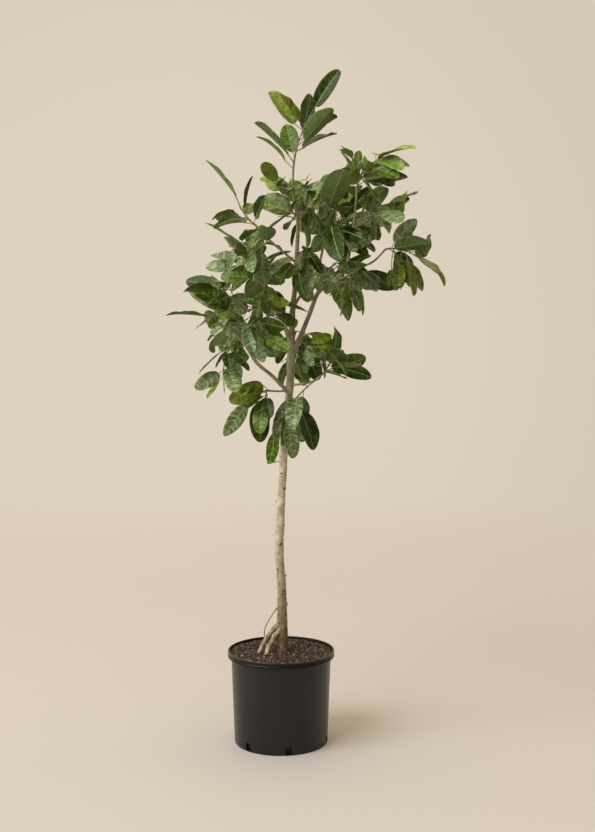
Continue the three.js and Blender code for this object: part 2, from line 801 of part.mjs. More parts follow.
function potGeometry() {
  const { height, footRadius, rimRadius, rimDepth, bevel, groove, grooveDrop, floor, rounding, sides } = POT;
  const under = height - rimDepth;
  const grooveHeight = height - grooveDrop;
  const profile = [
    [0, 0],
    [footRadius - rounding, 0],
    [footRadius - rounding * 0.3, rounding * 0.3],
    [footRadius, rounding],
    [wallRadius(under), under],
    [rimRadius - bevel, under],
    [rimRadius, under + bevel],
    [rimRadius, grooveHeight - groove],
    [rimRadius - groove, grooveHeight],
    [rimRadius, grooveHeight + groove],
    [rimRadius, height - bevel],
    [rimRadius - bevel, height],
    ...innerWall(height, 0).reverse(),
    [0, floor],
  ];
  let pot = solid(lathe(profile, sides));
  for (let pair = 0; pair < HOLE.pairs; pair++) {
    for (const angle of HOLE.angles) {
      pot = pot.subtract(holeCutter(angle + (pair * 360) / HOLE.pairs));
    }
  }
  return geometryOf(pot);
}

function holeCutter(angle) {
  const { width, bottom, top, depth, proud } = HOLE;
  const box = new THREE.BoxGeometry(width, depth, top - bottom);
  box.translate(0, depth / 2 - POT.footRadius - proud, (top + bottom) / 2);
  return solid(box.rotateZ(angle * DEGREE));
}

function mixGeometry() {
  return lathe([[0, POT.floor + GAP], ...innerWall(MIX_TOP, GAP), [0, MIX_TOP]], POT.sides);
}

// The trunk with its roots, cut off flat where it meets the mix.
function trunkGeometry(rows) {
  const roots = ROOTS.map((root) => tube(thinned(smoothRows(root)), ROOT_SIDES));
  const trunk = joined([tube(thinned(rows), LIMBS.trunk.sides), ...roots]);
  const size = 2 * POT.rimRadius;
  const buried = new THREE.BoxGeometry(size, size, size).translate(0, 0, MIX_TOP + GAP - size / 2);
  return geometryOf(trunk.subtract(solid(buried)));
}

// A mass of foliage. A stem that goes on from its limb's tip already meets it face to face.
function massGeometry({ twigs, leaves }, { at }, hostFaces) {
  const [stem, ...sideTwigs] = twigs.map(({ rows }) => thinned(rows, 1));
  const stemTube = tube(at < 1 ? seated(stem, STEM.sides, hostFaces) : stem, STEM.sides);
  const twigTubes = sideTwigs.map((rows) => tube(rows, TWIG.sides));
  return geometryOf(joined([stemTube, ...twigTubes, ...leaves.map(leafSolid)]));
}

function material(color, roughness) {
  return new THREE.MeshStandardMaterial({ color, roughness, metalness: 0 });
}

function addMesh(group, name, geometry, look) {
  const mesh = new THREE.Mesh(geometry, look);
  mesh.name = name;
  group.add(mesh);
}

function buildTree() {
  const tree = new THREE.Group();
  addMesh(tree, "pot", potGeometry(), material(COLOUR.pot, 0.5));
  addMesh(tree, "potting_mix", mixGeometry(), material(COLOUR.mix, 0.95));

  const bark = material(COLOUR.bark, 0.85);
  const limbs = growLimbs();
  const faces = {};
  for (const [name, rows] of Object.entries(limbs)) {
    const { on, sides } = LIMBS[name];
    const geometry = on ? tube(seated(thinned(rows), sides, faces[on]), sides) : trunkGeometry(rows);
    faces[name] = facesOf(geometry);
    addMesh(tree, name, geometry, bark);
  }

  const green = material(COLOUR.leaf, 0.6);
  const masses = Object.entries(MASSES);
  const stems = masses.map(([, mass]) => stemRows(mass, limbs));
  masses.forEach(([name, mass], i) => {
    const others = stems.filter((stem) => stem !== stems[i]);
    const space = spaceOf(heartOf(stems[i]), others.map(heartOf));
    const obstacles = ballsAlong([...Object.values(limbs), ...others]);
    const grown = growMass(mass, stems[i], space, obstacles);
    addMesh(tree, `foliage_${name}`, massGeometry(grown, mass, faces[mass.on]), green);
  });
  return tree;
}

export default buildTree();
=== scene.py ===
"""The looks of the potted ficus tree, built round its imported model.

Sizes are millimetres until a mesh is made, and +Z is up. The origin is the centre of the pot's flat
underside. Seen from the front, +X is to the right and +Y is to the back.
"""

import itertools
import math
from types import SimpleNamespace as Values

import bpy
import numpy as np
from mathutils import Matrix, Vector


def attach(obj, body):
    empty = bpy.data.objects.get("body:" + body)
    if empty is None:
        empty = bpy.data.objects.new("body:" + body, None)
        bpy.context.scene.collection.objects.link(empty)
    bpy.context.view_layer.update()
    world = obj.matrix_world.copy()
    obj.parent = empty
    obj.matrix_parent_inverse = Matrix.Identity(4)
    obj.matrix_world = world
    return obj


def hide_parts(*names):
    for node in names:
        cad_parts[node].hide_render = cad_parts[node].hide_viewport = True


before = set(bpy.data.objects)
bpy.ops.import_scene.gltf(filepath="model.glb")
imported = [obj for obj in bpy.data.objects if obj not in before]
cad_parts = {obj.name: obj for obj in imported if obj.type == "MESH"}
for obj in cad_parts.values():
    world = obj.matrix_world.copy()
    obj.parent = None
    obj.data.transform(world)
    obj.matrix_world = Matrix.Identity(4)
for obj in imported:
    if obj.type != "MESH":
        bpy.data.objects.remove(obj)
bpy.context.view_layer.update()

MM = 0.001
DEGREE = math.pi / 180
TURN = 2 * math.pi
# What is left between a limb and the one that carries it.
GAP = 0.3

# The pot and the mix in it, in the same sizes as the solids.
POT = Values(
    height=243, foot=121.8, neck=130.2, rim=139.5, rim_depth=16, lip=4, groove_drop=8.5,
    shoulder_top=235.5, shoulder_bottom=231, wall=2.6, floor=3, sides=176, wobble=0.0022,
)
HOLE = Values(width=16.5, bottom=2, top=22, pairs=3, angles=(-42, 10), corner=3, reach=7)
MIX_TOP = 238

# Limbs: the one that carries it, and its stations, each x, y, z and the radius there. A bough's first
# station lies on the centreline of the limb that carries it.
LIMBS = {
    "trunk": (None, (
        (4, 0, 226, 16.5), (3.5, 0, 262, 13.8), (3, 0, 336, 12), (2, 0, 408, 10.7), (-4, 2, 495, 10.3),
        (-2, 3, 566, 10.3), (1, 3, 640, 9.6), (5, 2, 704, 9.5), (7, 0, 760, 10), (13, 0, 832, 9.6),
        (21, 0, 905, 9.4), (25, 0, 965, 9.5), (27, 0, 1040, 8.6), (30, 2, 1120, 6.7), (37, 4, 1192, 5.3),
        (41, 5, 1270, 4.6), (44, 4, 1345, 4), (38, 2, 1390, 3.7), (31, 0, 1440, 3.2), (31, 0, 1462, 3),
    )),
    "bough_right": ("trunk", (
        (27, 0, 1012, 6.5), (57, 0, 1076, 6), (78, -2, 1128, 5.7), (95, -6, 1170, 5.4),
        (126, -12, 1197, 5), (150, -18, 1213, 4.6),
    )),
    "bough_right_upper": ("bough_right", (
        (150, -18, 1213, 4.2), (168, -20, 1240, 4), (177, -20, 1285, 3.6), (184, -16, 1330, 3.3),
        (192, -6, 1400, 2.9), (194, -2, 1430, 2.7),
    )),
    "bough_right_outer": ("bough_right", (
        (132, -13, 1200, 3.4), (170, -28, 1213, 3.1), (204, -30, 1234, 2.8), (237, -28, 1251, 2.5),
        (262, -22, 1276, 2.2),
    )),
    "bough_cross": ("bough_right", (
        (100, -7, 1175, 3.6), (62, -26, 1226, 3.3), (30, -40, 1254, 3), (-20, -50, 1295, 2.7),
        (-58, -56, 1334, 2.4),
    )),
    "bough_left": ("trunk", (
        (20, 0, 915, 5.2), (-22, -16, 959, 4.8), (-60, -32, 992, 4.5), (-88, -46, 1036, 4.2),
        (-112, -54, 1066, 3.7),
    )),
    "bough_low_right": ("trunk", (
        (23, 0, 935, 3.2), (50, -20, 938, 2.9), (83, -32, 946, 2.6), (104, -38, 962, 2.4),
    )),
    "bough_low_left": ("trunk", ((21, 0, 923, 3), (-2, -24, 920, 2.7), (-25, -44, 922, 2.4))),
    "bough_rear_left": ("trunk", (
        (27, 0, 1030, 5), (10, 50, 1080, 4.6), (-20, 95, 1130, 4.2), (-40, 120, 1180, 3.7),
    )),
    "bough_rear_right": ("trunk", (
        (31, 2, 1135, 4.4), (60, 50, 1180, 4), (95, 95, 1235, 3.6), (110, 120, 1290, 3.2),
    )),
}

# Roots that show above the mix, in the same kind of stations.
ROOTS = (
    ((0, 0, 314, 7.5), (-22, -3, 293, 6.6), (-44, -4, 263, 5.6), (-60, -6, 230, 4.6)),
    ((2, -4, 300, 7.5), (-14, -12, 283, 6.6), (-29, -16, 258, 5.8), (-42, -18, 228, 4.8)),
    ((0, 2, 366, 1.8), (-30, 8, 322, 1.4), (-44, 14, 288, 1.3), (-40, 22, 256, 1.3), (-34, 28, 228, 1.2)),
)

# Masses of foliage. The first row of each: its name, the limb that its stem grows on and how far along
# it, and where the stem bends and ends. The second: how many leaves and side twigs, the leaf's length,
# the seed, how young the tips are, how many finer twigs to try and by which seed, and the tints' seed.
MASS = ("on", "at", "bend", "end", "leaves", "twigs", "leaf", "seed", "young", "finer", "tints")
MASSES = {name: Values(**dict(zip(MASS, values))) for name, *values in (
    ("leader", "trunk", 1, (33, -2, 1545), (72, -4, 1612),
     12, 0, 124, 55792, 0.8, (0, 1), 83515),
    ("neck_left", "trunk", 0.86, (12, -22, 1395), (-4, -30, 1440),
     8, 0, 100, 32855, 1, (7, 37226), 58280),
    ("neck_right", "trunk", 0.91, (62, -8, 1418), (98, -14, 1440),
     9, 0, 100, 78696, 0.6, (6, 80429), 59193),
    ("upper_left", "bough_cross", 1, (-80, -60, 1350), (-98, -64, 1378),
     10, 0, 98, 84462, 0.4, (7, 7330), 5269),
    ("mid_left", "bough_cross", 0.78, (-45, -70, 1290), (-88, -84, 1250),
     10, 0, 98, 75730, 0.6, (3, 87844), 17895),
    ("high_left", "bough_left", 0.92, (-100, -64, 1120), (-132, -74, 1196),
     11, 1, 112, 79957, 0.3, (5, 36607), 65085),
    ("left_end", "bough_left", 1, (-135, -58, 1082), (-164, -64, 1094),
     10, 0, 110, 67453, 0.3, (3, 45794), 3992),
    ("droop", "bough_left", 0.97, (-150, -90, 1020), (-140, -100, 930),
     9, 0, 88, 66971, 0.3, (6, 96800), 96048),
    ("level", "bough_left", 0.66, (-66, -70, 1060), (-52, -90, 1086),
     8, 0, 112, 96817, 0.2, (7, 20071), 70901),
    ("low_left", "bough_low_left", 1, (-44, -66, 926), (-70, -86, 905),
     8, 0, 104, 1525, 0.5, (4, 10891), 35279),
    ("low_front", "bough_low_right", 0.72, (38, -72, 912), (-14, -92, 838),
     12, 0, 102, 13765, 0.2, (7, 50543), 11437),
    ("low_right", "bough_low_right", 1, (118, -44, 975), (132, -50, 1010),
     10, 1, 99, 9529, 0.5, (6, 85318), 65069),
    ("right_lower", "bough_right", 0.84, (150, -50, 1195), (196, -66, 1196),
     10, 0, 102, 4665, 0.2, (7, 79907), 4828),
    ("right_outer", "bough_right_outer", 1, (295, -20, 1290), (338, -22, 1268),
     10, 0, 105, 19208, 0.5, (4, 59816), 42474),
    ("right_mid", "bough_right_upper", 0.62, (225, -30, 1350), (272, -44, 1378),
     10, 1, 108, 44306, 0.4, (3, 77286), 77144),
    ("right_top", "bough_right_upper", 1, (197, 0, 1460), (220, 2, 1496),
     12, 1, 98, 65891, 1, (7, 98242), 23837),
    ("front_centre", "bough_right_upper", 0.35, (140, -64, 1300), (112, -88, 1340),
     11, 0, 116, 80767, 0.3, (7, 10113), 26501),
    ("centre_low", "trunk", 0.73, (44, -50, 1255), (52, -100, 1262),
     10, 0, 90, 56307, 0.2, (5, 68263), 69909),
    ("centre_left", "trunk", 0.63, (0, -40, 1160), (-42, -60, 1190),
     10, 1, 96, 5668, 0.4, (4, 60764), 9233),
    ("rear_top", "trunk", 0.85, (60, 60, 1380), (80, 120, 1400),
     10, 0, 102, 69933, 0.5, (6, 53255), 32753),
    ("rear_left", "bough_rear_left", 1, (-50, 135, 1210), (-64, 150, 1262),
     10, 1, 104, 64078, 0.6, (7, 34489), 61462),
    ("rear_left_low", "bough_rear_left", 0.6, (-60, 110, 1130), (-96, 130, 1130),
     9, 0, 100, 790, 0.4, (7, 84001), 88011),
    ("rear_right", "bough_rear_right", 1, (130, 132, 1330), (156, 140, 1376),
     10, 1, 104, 88225, 0.6, (7, 23050), 5317),
    ("rear_right_low", "bough_rear_right", 0.55, (130, 90, 1220), (182, 110, 1226),
     10, 0, 102, 97016, 0.4, (6, 66085), 16219),
    ("rear_low", "trunk", 0.57, (50, 50, 1065), (62, 110, 1070),
     8, 0, 98, 44808, 0.3, (6, 70081), 94238),
)}

# The rule by which stems, twigs and leaves grow. A pair of numbers is a range.
STEM = Values(radius=2.3, tip=1.2, share=0.7, steps=10, collar=6)
TWIG = Values(start=(0.3, 0.6), reach=(60, 100), bow=0.5, radius=1.9, tip=1.1, share=0.85, steps=4, leaves=5)
# The finer twigs that only the looks have.
FINER = Values(
    start=(0.12, 0.97), reach=(32, 80), bow=0.5, radius=1.35, tip=0.9, steps=4, leaves=(3, 5),
    leaf=(0.72, 1.0), gap=7, twig_gap=4, beyond=10, last=0.999,
)
NODE = Values(first=0.12, crowding=1.15, last=0.995, glance=0.05)
LEAF = Values(
    tries=8, turn=137.5 * DEGREE, wander=(-0.6, 0.6), retry=0.9, shrink=0.04, length=(0.78, 1.14),
    lean=(40 * DEGREE, 84 * DEGREE), petiole=(0.2, 0.34), hang=(0, 0.85), sag=0.25, droop=(-0.6, 0.6),
    roll=(-65 * DEGREE, 65 * DEGREE), width=(0.4, 0.57), arch=(-0.1, 0.65), fold=(4 * DEGREE, 24 * DEGREE),
)
LAST_LEAF = Values(length=1.1, lean=(12 * DEGREE, 42 * DEGREE), droop=0.35)
LIGHT = Values(middle=30, across=250, depth=500, front=0.5)
OUTLINE = Values(skew=0.92, bluntness=0.62)
# How far a leaf keeps from what else grows, and how near things are that it is tested against.
CLEAR = Values(limb=6, petiole=3, twig=4, leaf=13)
NEAR = Values(mass=300, leaf=170, blade=0.55, edge=8)
SPACE = Values(margin=2, reach=520)
ROWS_PER_STATION = 4
RIM_POINTS = 8
CUT_STEP = 0.5
BALL_SPACING = 7
# Places along and across a blade at which it is tested, and which of the coarse ones is its middle.
COARSE = ((0.06, 0.28, 0.5, 0.72, 0.95), (-0.9, -0.45, 0, 0.45, 0.9))
FINE = ((0.02, 0.12, 0.24, 0.36, 0.48, 0.6, 0.72, 0.84, 0.96), (-1, -0.5, 0, 0.5, 1))
MIDDLE = 12


class Dice:
    """Numbers that fall the same way each run for the same seed."""

    PRIME = 2 ** 31 - 1

    def __init__(self, seed):
        self.state = (seed * 7919 + 13) % self.PRIME

    def roll(self):
        self.state = self.state * 48271 % self.PRIME
        return self.state / self.PRIME

    def between(self, low, high):
        return low + (high - low) * self.roll()


def vector(*values):
    return np.array(values, dtype=float)


def dot(a, b):
    return float(a[0] * b[0] + a[1] * b[1] + a[2] * b[2])


def length(a):
    return math.sqrt(dot(a, a))


def unit(a):
    return a / length(a)


def crossed(a, b):
    return vector(a[1] * b[2] - a[2] * b[1], a[2] * b[0] - a[0] * b[2], a[0] * b[1] - a[1] * b[0])


def turned(direction, axis, angle):
    """The direction turned about an axis."""
    c, s = math.cos(angle), math.sin(angle)
    return direction * c + crossed(axis, direction) * s + axis * (dot(axis, direction) * (1 - c))


UP = vector(0, 0, 1)
FRONT = vector(0, -1, 0)


def outward_at(degrees):
    """The way out from the z axis, at an angle from the front."""
    return vector(math.sin(degrees * DEGREE), -math.cos(degrees * DEGREE), 0)


def square_to(axis, hint):
    """The part of a hint that is square to an axis, one unit long."""
    side = hint - axis * dot(axis, hint)
    if length(side) < 1e-3:
        side = crossed(axis, vector(1, 0, 0) if abs(axis[0]) < 0.9 else vector(0, 1, 0))
    return unit(side)


def smooth_rows(stations, per=ROWS_PER_STATION):
    """Rows on a smooth curve through the stations."""
    s = np.array(stations, dtype=float)
    rows = []
    for i in range(len(s) - 1):
        a, b, c, d = s[max(i - 1, 0)], s[i], s[i + 1], s[min(i + 2, len(s) - 1)]
        for j in range(per):
            t = j / per
            slope = (c - a) * t
            bend = (2 * a - 5 * b + 4 * c - d) * t * t
            twist = (3 * b - 3 * c + d - a) * t ** 3
            rows.append(0.5 * (2 * b + slope + bend + twist))
    return np.array([*rows, s[-1]])


def bent_rows(start, bend, end, steps, radius, tip_radius):
    """Rows along a bend from one point to another, tapering evenly."""
    rows = []
    for i in range(steps + 1):
        t = i / steps
        first = start + (bend - start) * t
        second = bend + (end - bend) * t
        rows.append([*(first + (second - first) * t), radius + (tip_radius - radius) * t])
    return np.array(rows)


def row_at(rows, share):
    k = share * (len(rows) - 1)
    i = min(int(k), len(rows) - 2)
    return rows[i] + (rows[i + 1] - rows[i]) * (k - i)


def distance_outside(point, rows):
    """How far a point lies outside a limb."""
    start, span = rows[:-1, :3], np.diff(rows[:, :3], axis=0)
    along = np.clip(((point - start) * span).sum(1) / (span * span).sum(1), 0, 1)
    radius = rows[:-1, 3] + np.diff(rows[:, 3]) * along
    return (np.linalg.norm(point - start - span * along[:, None], axis=1) - radius).min()


def start_clear_of(rows, host):
    """Cuts the start off a limb so that its flat end just clears the limb that carries it."""
    for i in range(len(rows) - 1):
        span = rows[i + 1, :3] - rows[i, :3]
        steps = max(1, int(length(span) / CUT_STEP))
        ahead = unit(span)
        side = square_to(ahead, UP)
        for j in range(steps):
            row = row_at(rows[i:i + 2], j / steps)
            rim = [row[:3] + turned(side, ahead, k * TURN / RIM_POINTS) * row[3] for k in range(RIM_POINTS)]
            if all(distance_outside(point, host) >= GAP for point in rim):
                return np.vstack([row, rows[i + 1:]])
    raise ValueError("a limb never leaves the one that carries it")


def stem_rows(mass, limbs):
    """The stem of a mass, from just clear of its limb to its end."""
    host, bend, end = limbs[mass.on], vector(*mass.bend), vector(*mass.end)
    if mass.at < 1:
        row = row_at(host, mass.at)
        base = min(STEM.radius, row[3] * STEM.share)
        return start_clear_of(bent_rows(row[:3], bend, end, STEM.steps, base, STEM.tip), host)
    tip, radius = host[-1, :3], host[-1, 3]
    onward = unit(tip - host[-2, :3])
    collar = tip + onward * (GAP + STEM.collar)
    rows = bent_rows(collar, bend, end, STEM.steps - 2, radius, STEM.tip)
    return np.vstack([[*(tip + onward * GAP), radius], rows])


def space_of(heart, others):
    """The planes that bound the part of the crown nearer to this heart than to any other."""
    planes = []
    for other in others:
        if length(other - heart) <= SPACE.reach:
            normal = unit(other - heart)
            planes.append([*normal, dot(normal, (heart + other) / 2) - SPACE.margin])
    return np.array(planes)


def in_space(space, points):
    return bool((np.atleast_2d(points) @ space[:, :3].T <= space[:, 3]).all())


def balls_along(lines):
    """Balls along the limbs, close enough together to stand for them."""
    balls = []
    for rows in lines:
        for i in range(len(rows) - 1):
            count = max(1, int(length(rows[i + 1, :3] - rows[i, :3]) / BALL_SPACING))
            balls += [row_at(rows[i:i + 2], j / count) for j in range(count)]
    return np.array(balls)


def balls_near(balls, centre, reach):
    return balls[np.linalg.norm(balls[:, :3] - centre, axis=1) < reach + balls[:, 3]]


def clear_of(points, balls, gap):
    if not len(balls):
        return True
    apart = np.linalg.norm(np.atleast_2d(points)[:, None] - balls[None, :, :3], axis=2)
    return bool((apart >= balls[:, 3] + gap).all())


def half_width(along, bluntness=OUTLINE.bluntness, share=0.5):
    """The blade's half width as a share of its width: an oblong oval with blunt ends."""
    inside = np.clip(along, 1e-9, 1 - 1e-9)
    return share * np.sin(math.pi * inside ** OUTLINE.skew) ** bluntness


def blade_frame(leaf, along):
    """Where the midrib lies at each share of its length, and which way the face looks there."""
    bend = leaf.arch * along
    small = abs(leaf.arch) < 1e-6
    forward = along if small else np.sin(bend) / leaf.arch
    down = 0 * along if small else (1 - np.cos(bend)) / leaf.arch
    middle = leaf.base + leaf.length * (forward * leaf.axis - down * leaf.normal)
    return middle, np.cos(bend) * leaf.normal + np.sin(bend) * leaf.axis


def blade_points(leaf, along, across):
    """Points of the blade at pairs of places along it, 0 to 1, and across it, -1 to 1."""
    along, across = np.asarray(along, float)[..., None], np.asarray(across, float)[..., None]
    middle, lift = blade_frame(leaf, along)
    reach = half_width(along) * leaf.width * across
    return middle + reach * math.cos(leaf.fold) * leaf.side + np.abs(reach) * math.sin(leaf.fold) * lift


def blade_grid(leaf, grid):
    rows, columns = np.meshgrid(*grid, indexing="ij")
    return blade_points(leaf, rows.ravel(), columns.ravel())


def side_twig(stem, dice, kind):
    along = unit(stem[-1, :3] - stem[0, :3])
    row = row_at(stem, dice.between(*kind.start))
    radial = turned(square_to(along, UP), along, dice.between(0, TURN))
    outward = unit(along + radial)
    reach = dice.between(*kind.reach)
    bend = row[:3] + unit(outward + radial * kind.bow) * reach / 2
    base = min(kind.radius, row[3] * TWIG.share)
    return bent_rows(row[:3], bend, row[:3] + outward * reach, kind.steps, base, kind.tip)


def twig_fits(rows, space, limbs):
    inside = in_space(space, rows[:, :3])
    return inside and all(clear_of(row[:3], limbs, row[3] + CLEAR.petiole) for row in rows)


def grow_mass(mass, stem, space, limbs):
    """Grows side twigs off the stem, then leaves spiralling up each of them."""
    dice = Dice(mass.seed)
    hang = dice.between(*LEAF.hang)
    twigs = [stem]
    for _ in range(mass.twigs):
        rows = side_twig(stem, dice, TWIG)
        if twig_fits(rows[1:], space, limbs):
            twigs.append(rows)
    own, leaves = np.vstack(twigs), []
    for k, rows in enumerate(twigs):
        count = TWIG.leaves if k else mass.leaves
        places = [i / (count - 1) for i in range(count)]
        way = Values(spin=dice.between(0, TURN), hang=hang, size=mass.leaf, young=mass.young, last=1)
        leaves += grow_leaves(rows, places, way, dice, (space, limbs, own, leaves, CLEAR.leaf))
    return twigs, leaves


def reach_of(twigs, leaves):
    """The planes of the box round a mass as grown so far, which its finer twigs keep to."""
    points = np.vstack([*(leaf.grid for leaf in leaves), *(rows[:, :3] for rows in twigs)])
    high, low = points.max(axis=0) + FINER.beyond, points.min(axis=0) - FINER.beyond
    return np.vstack([np.column_stack([np.eye(3), high]), np.column_stack([-np.eye(3), -low])])


def grow_finer(mass, twigs, leaves, space, limbs):
    """Grows finer twigs off the stem and the twigs, with smaller leaves, where there is room."""
    space = np.vstack([space, reach_of(twigs, leaves)])
    tries, seed = mass.finer
    dice = Dice(seed)
    for _ in range(tries):
        rows = side_twig(twigs[int(dice.roll() * len(twigs))], dice, FINER)
        hang, count = dice.between(*LEAF.hang), round(dice.between(*FINER.leaves))
        size, spin = mass.leaf * dice.between(*FINER.leaf), dice.between(0, TURN)
        if not twig_fits(rows[1:], space, limbs):
            continue
        if not all(clear_of(leaf.grid, rows[1:], FINER.twig_gap) for leaf in leaves):
            continue
        places = [(i + 1) / count for i in range(count)]
        way = Values(spin=spin, hang=hang, size=size, young=mass.young, last=FINER.last)
        own = np.vstack([*twigs, rows])
        fresh = grow_leaves(rows, places, way, dice, (space, limbs, own, leaves, FINER.gap))
        if fresh:
            twigs.append(rows)
            leaves += fresh
    return twigs, leaves


def node_at(rows, far):
    """Where a leaf grows on a twig, and which way the twig runs there."""
    share = NODE.first + (1 - NODE.first) * (1 - (1 - far) ** NODE.crowding)
    ahead = row_at(rows, min(share + NODE.glance, 1)) - row_at(rows, max(share - NODE.glance, 0))
    return row_at(rows, min(share, NODE.last))[:3], unit(ahead[:3])


def grow_leaves(rows, places, way, dice, around):
    """The leaves that find room on a twig, as they spiral up it from place to place."""
    space, limbs, own, leaves, gap = around
    fresh = []
    for far in places:
        way.spin += LEAF.turn
        point, ahead = node_at(rows, far * way.last)
        if not in_space(space, point):
            continue
        for attempt in range(LEAF.tries):
            leaf = propose_leaf(point, ahead, way, far == 1, attempt, dice)
            if fits(leaf, space, limbs, own, leaves + fresh, gap):
                leaf.youth = far * way.young
                fresh.append(leaf)
                break
    return fresh


def propose_leaf(point, ahead, way, last, attempt, dice):
    """One way for a leaf to grow: the petiole sags, the blade hangs further and faces the light."""
    share = dice.between(*LEAF.length) * (1 - LEAF.shrink * attempt)
    size = way.size * share * (LAST_LEAF.length if last else 1)
    azimuth = way.spin + dice.between(*LEAF.wander) + attempt * LEAF.retry
    lean = dice.between(*(LAST_LEAF if last else LEAF).lean)
    radial = turned(square_to(ahead, UP), ahead, azimuth)
    out = ahead * math.cos(lean) + radial * math.sin(lean)
    petiole = size * dice.between(*LEAF.petiole)
    knee = point + out * petiole / 2
    sagging = unit(out - UP * LEAF.sag * way.hang)
    base = knee + sagging * petiole / 2
    droop = (way.hang + dice.between(*LEAF.droop)) * (LAST_LEAF.droop if last else 1)
    axis = unit(sagging - UP * droop)
    light = vector((base[0] - LIGHT.middle) / LIGHT.across, base[1] / LIGHT.depth - LIGHT.front, 1)
    normal = turned(square_to(axis, light), axis, dice.between(*LEAF.roll))
    return Values(
        root=point, knee=knee, base=base, axis=axis, normal=normal, side=crossed(axis, normal), length=size,
        width=size * dice.between(*LEAF.width), arch=dice.between(*LEAF.arch), fold=dice.between(*LEAF.fold),
    )


def fits(leaf, space, limbs, own, leaves, gap):
    ends = [*blade_points(leaf, [1], [0]), leaf.base, leaf.knee]
    leaf.grid = blade_grid(leaf, COARSE)
    near = balls_near(limbs, leaf.grid[MIDDLE], leaf.length * NEAR.blade + NEAR.edge)
    return (
        in_space(space, ends) and in_space(space, leaf.grid)
        and clear_of(blade_grid(leaf, FINE), near, CLEAR.limb)
        and clear_of([leaf.knee, leaf.base], limbs, CLEAR.petiole)
        and clear_of(leaf.grid[len(COARSE[1]):], own, CLEAR.twig)
        and all(grid_gap(leaf.grid, other.grid) >= gap for other in leaves)
    )


def grid_gap(a, b):
    if length(a[MIDDLE] - b[MIDDLE]) > NEAR.leaf:
        return math.inf
    return np.linalg.norm(a[:, None] - b[None], axis=2).min()


def grow_limbs():
    """Each limb whole, from the centreline of its host, and cut where it leaves it."""
    whole, cut = {}, {}
    for name, (host, stations) in LIMBS.items():
        whole[name] = smooth_rows(stations)
        cut[name] = start_clear_of(whole[name], cut[host]) if host else whole[name]
    return whole, cut


def grow_crown(limbs):
    """The twigs and the leaves of each mass, in a space of its own."""
    stems = {name: stem_rows(mass, limbs) for name, mass in MASSES.items()}
    hearts = {name: (stem[0, :3] + stem[-1, :3]) / 2 for name, stem in stems.items()}
    crown = {}
    for name, mass in MASSES.items():
        others = [other for other in stems if other != name]
        space = space_of(hearts[name], [hearts[other] for other in others])
        obstacles = balls_along([*limbs.values(), *(stems[other] for other in others)])
        near = balls_near(obstacles, hearts[name], NEAR.mass)
        crown[name] = grow_finer(mass, *grow_mass(mass, stems[name], space, near), space, near)
    return crown


def noise(points, size, seed):
    """Smooth noise from -1 to 1 with lumps of about a size, the same each run."""
    scaled = points / size
    cell = np.floor(scaled).astype(np.int64)
    share = scaled - cell
    share = share * share * (3 - 2 * share)
    total = np.zeros(points.shape[:-1])
    for corner in itertools.product((0, 1), repeat=3):
        at = cell + np.array(corner)
        mixed = at[..., 0] * 73856093 ^ at[..., 1] * 19349663 ^ at[..., 2] * 83492791 ^ seed * 2654435
        mixed = (mixed ^ mixed >> 13) * 1274126177 & 0x7FFFFFFF
        mixed = (mixed ^ mixed >> 15) * 668265263 & 0x7FFFFFFF
        weight = np.where(np.array(corner) == 1, share, 1 - share).prod(axis=-1)
        total += weight * (mixed / 0x3FFFFFFF - 1)
    return total


def bell(off):
    """One at nothing off, and less and less on both sides."""
    return np.exp(-off ** 2)


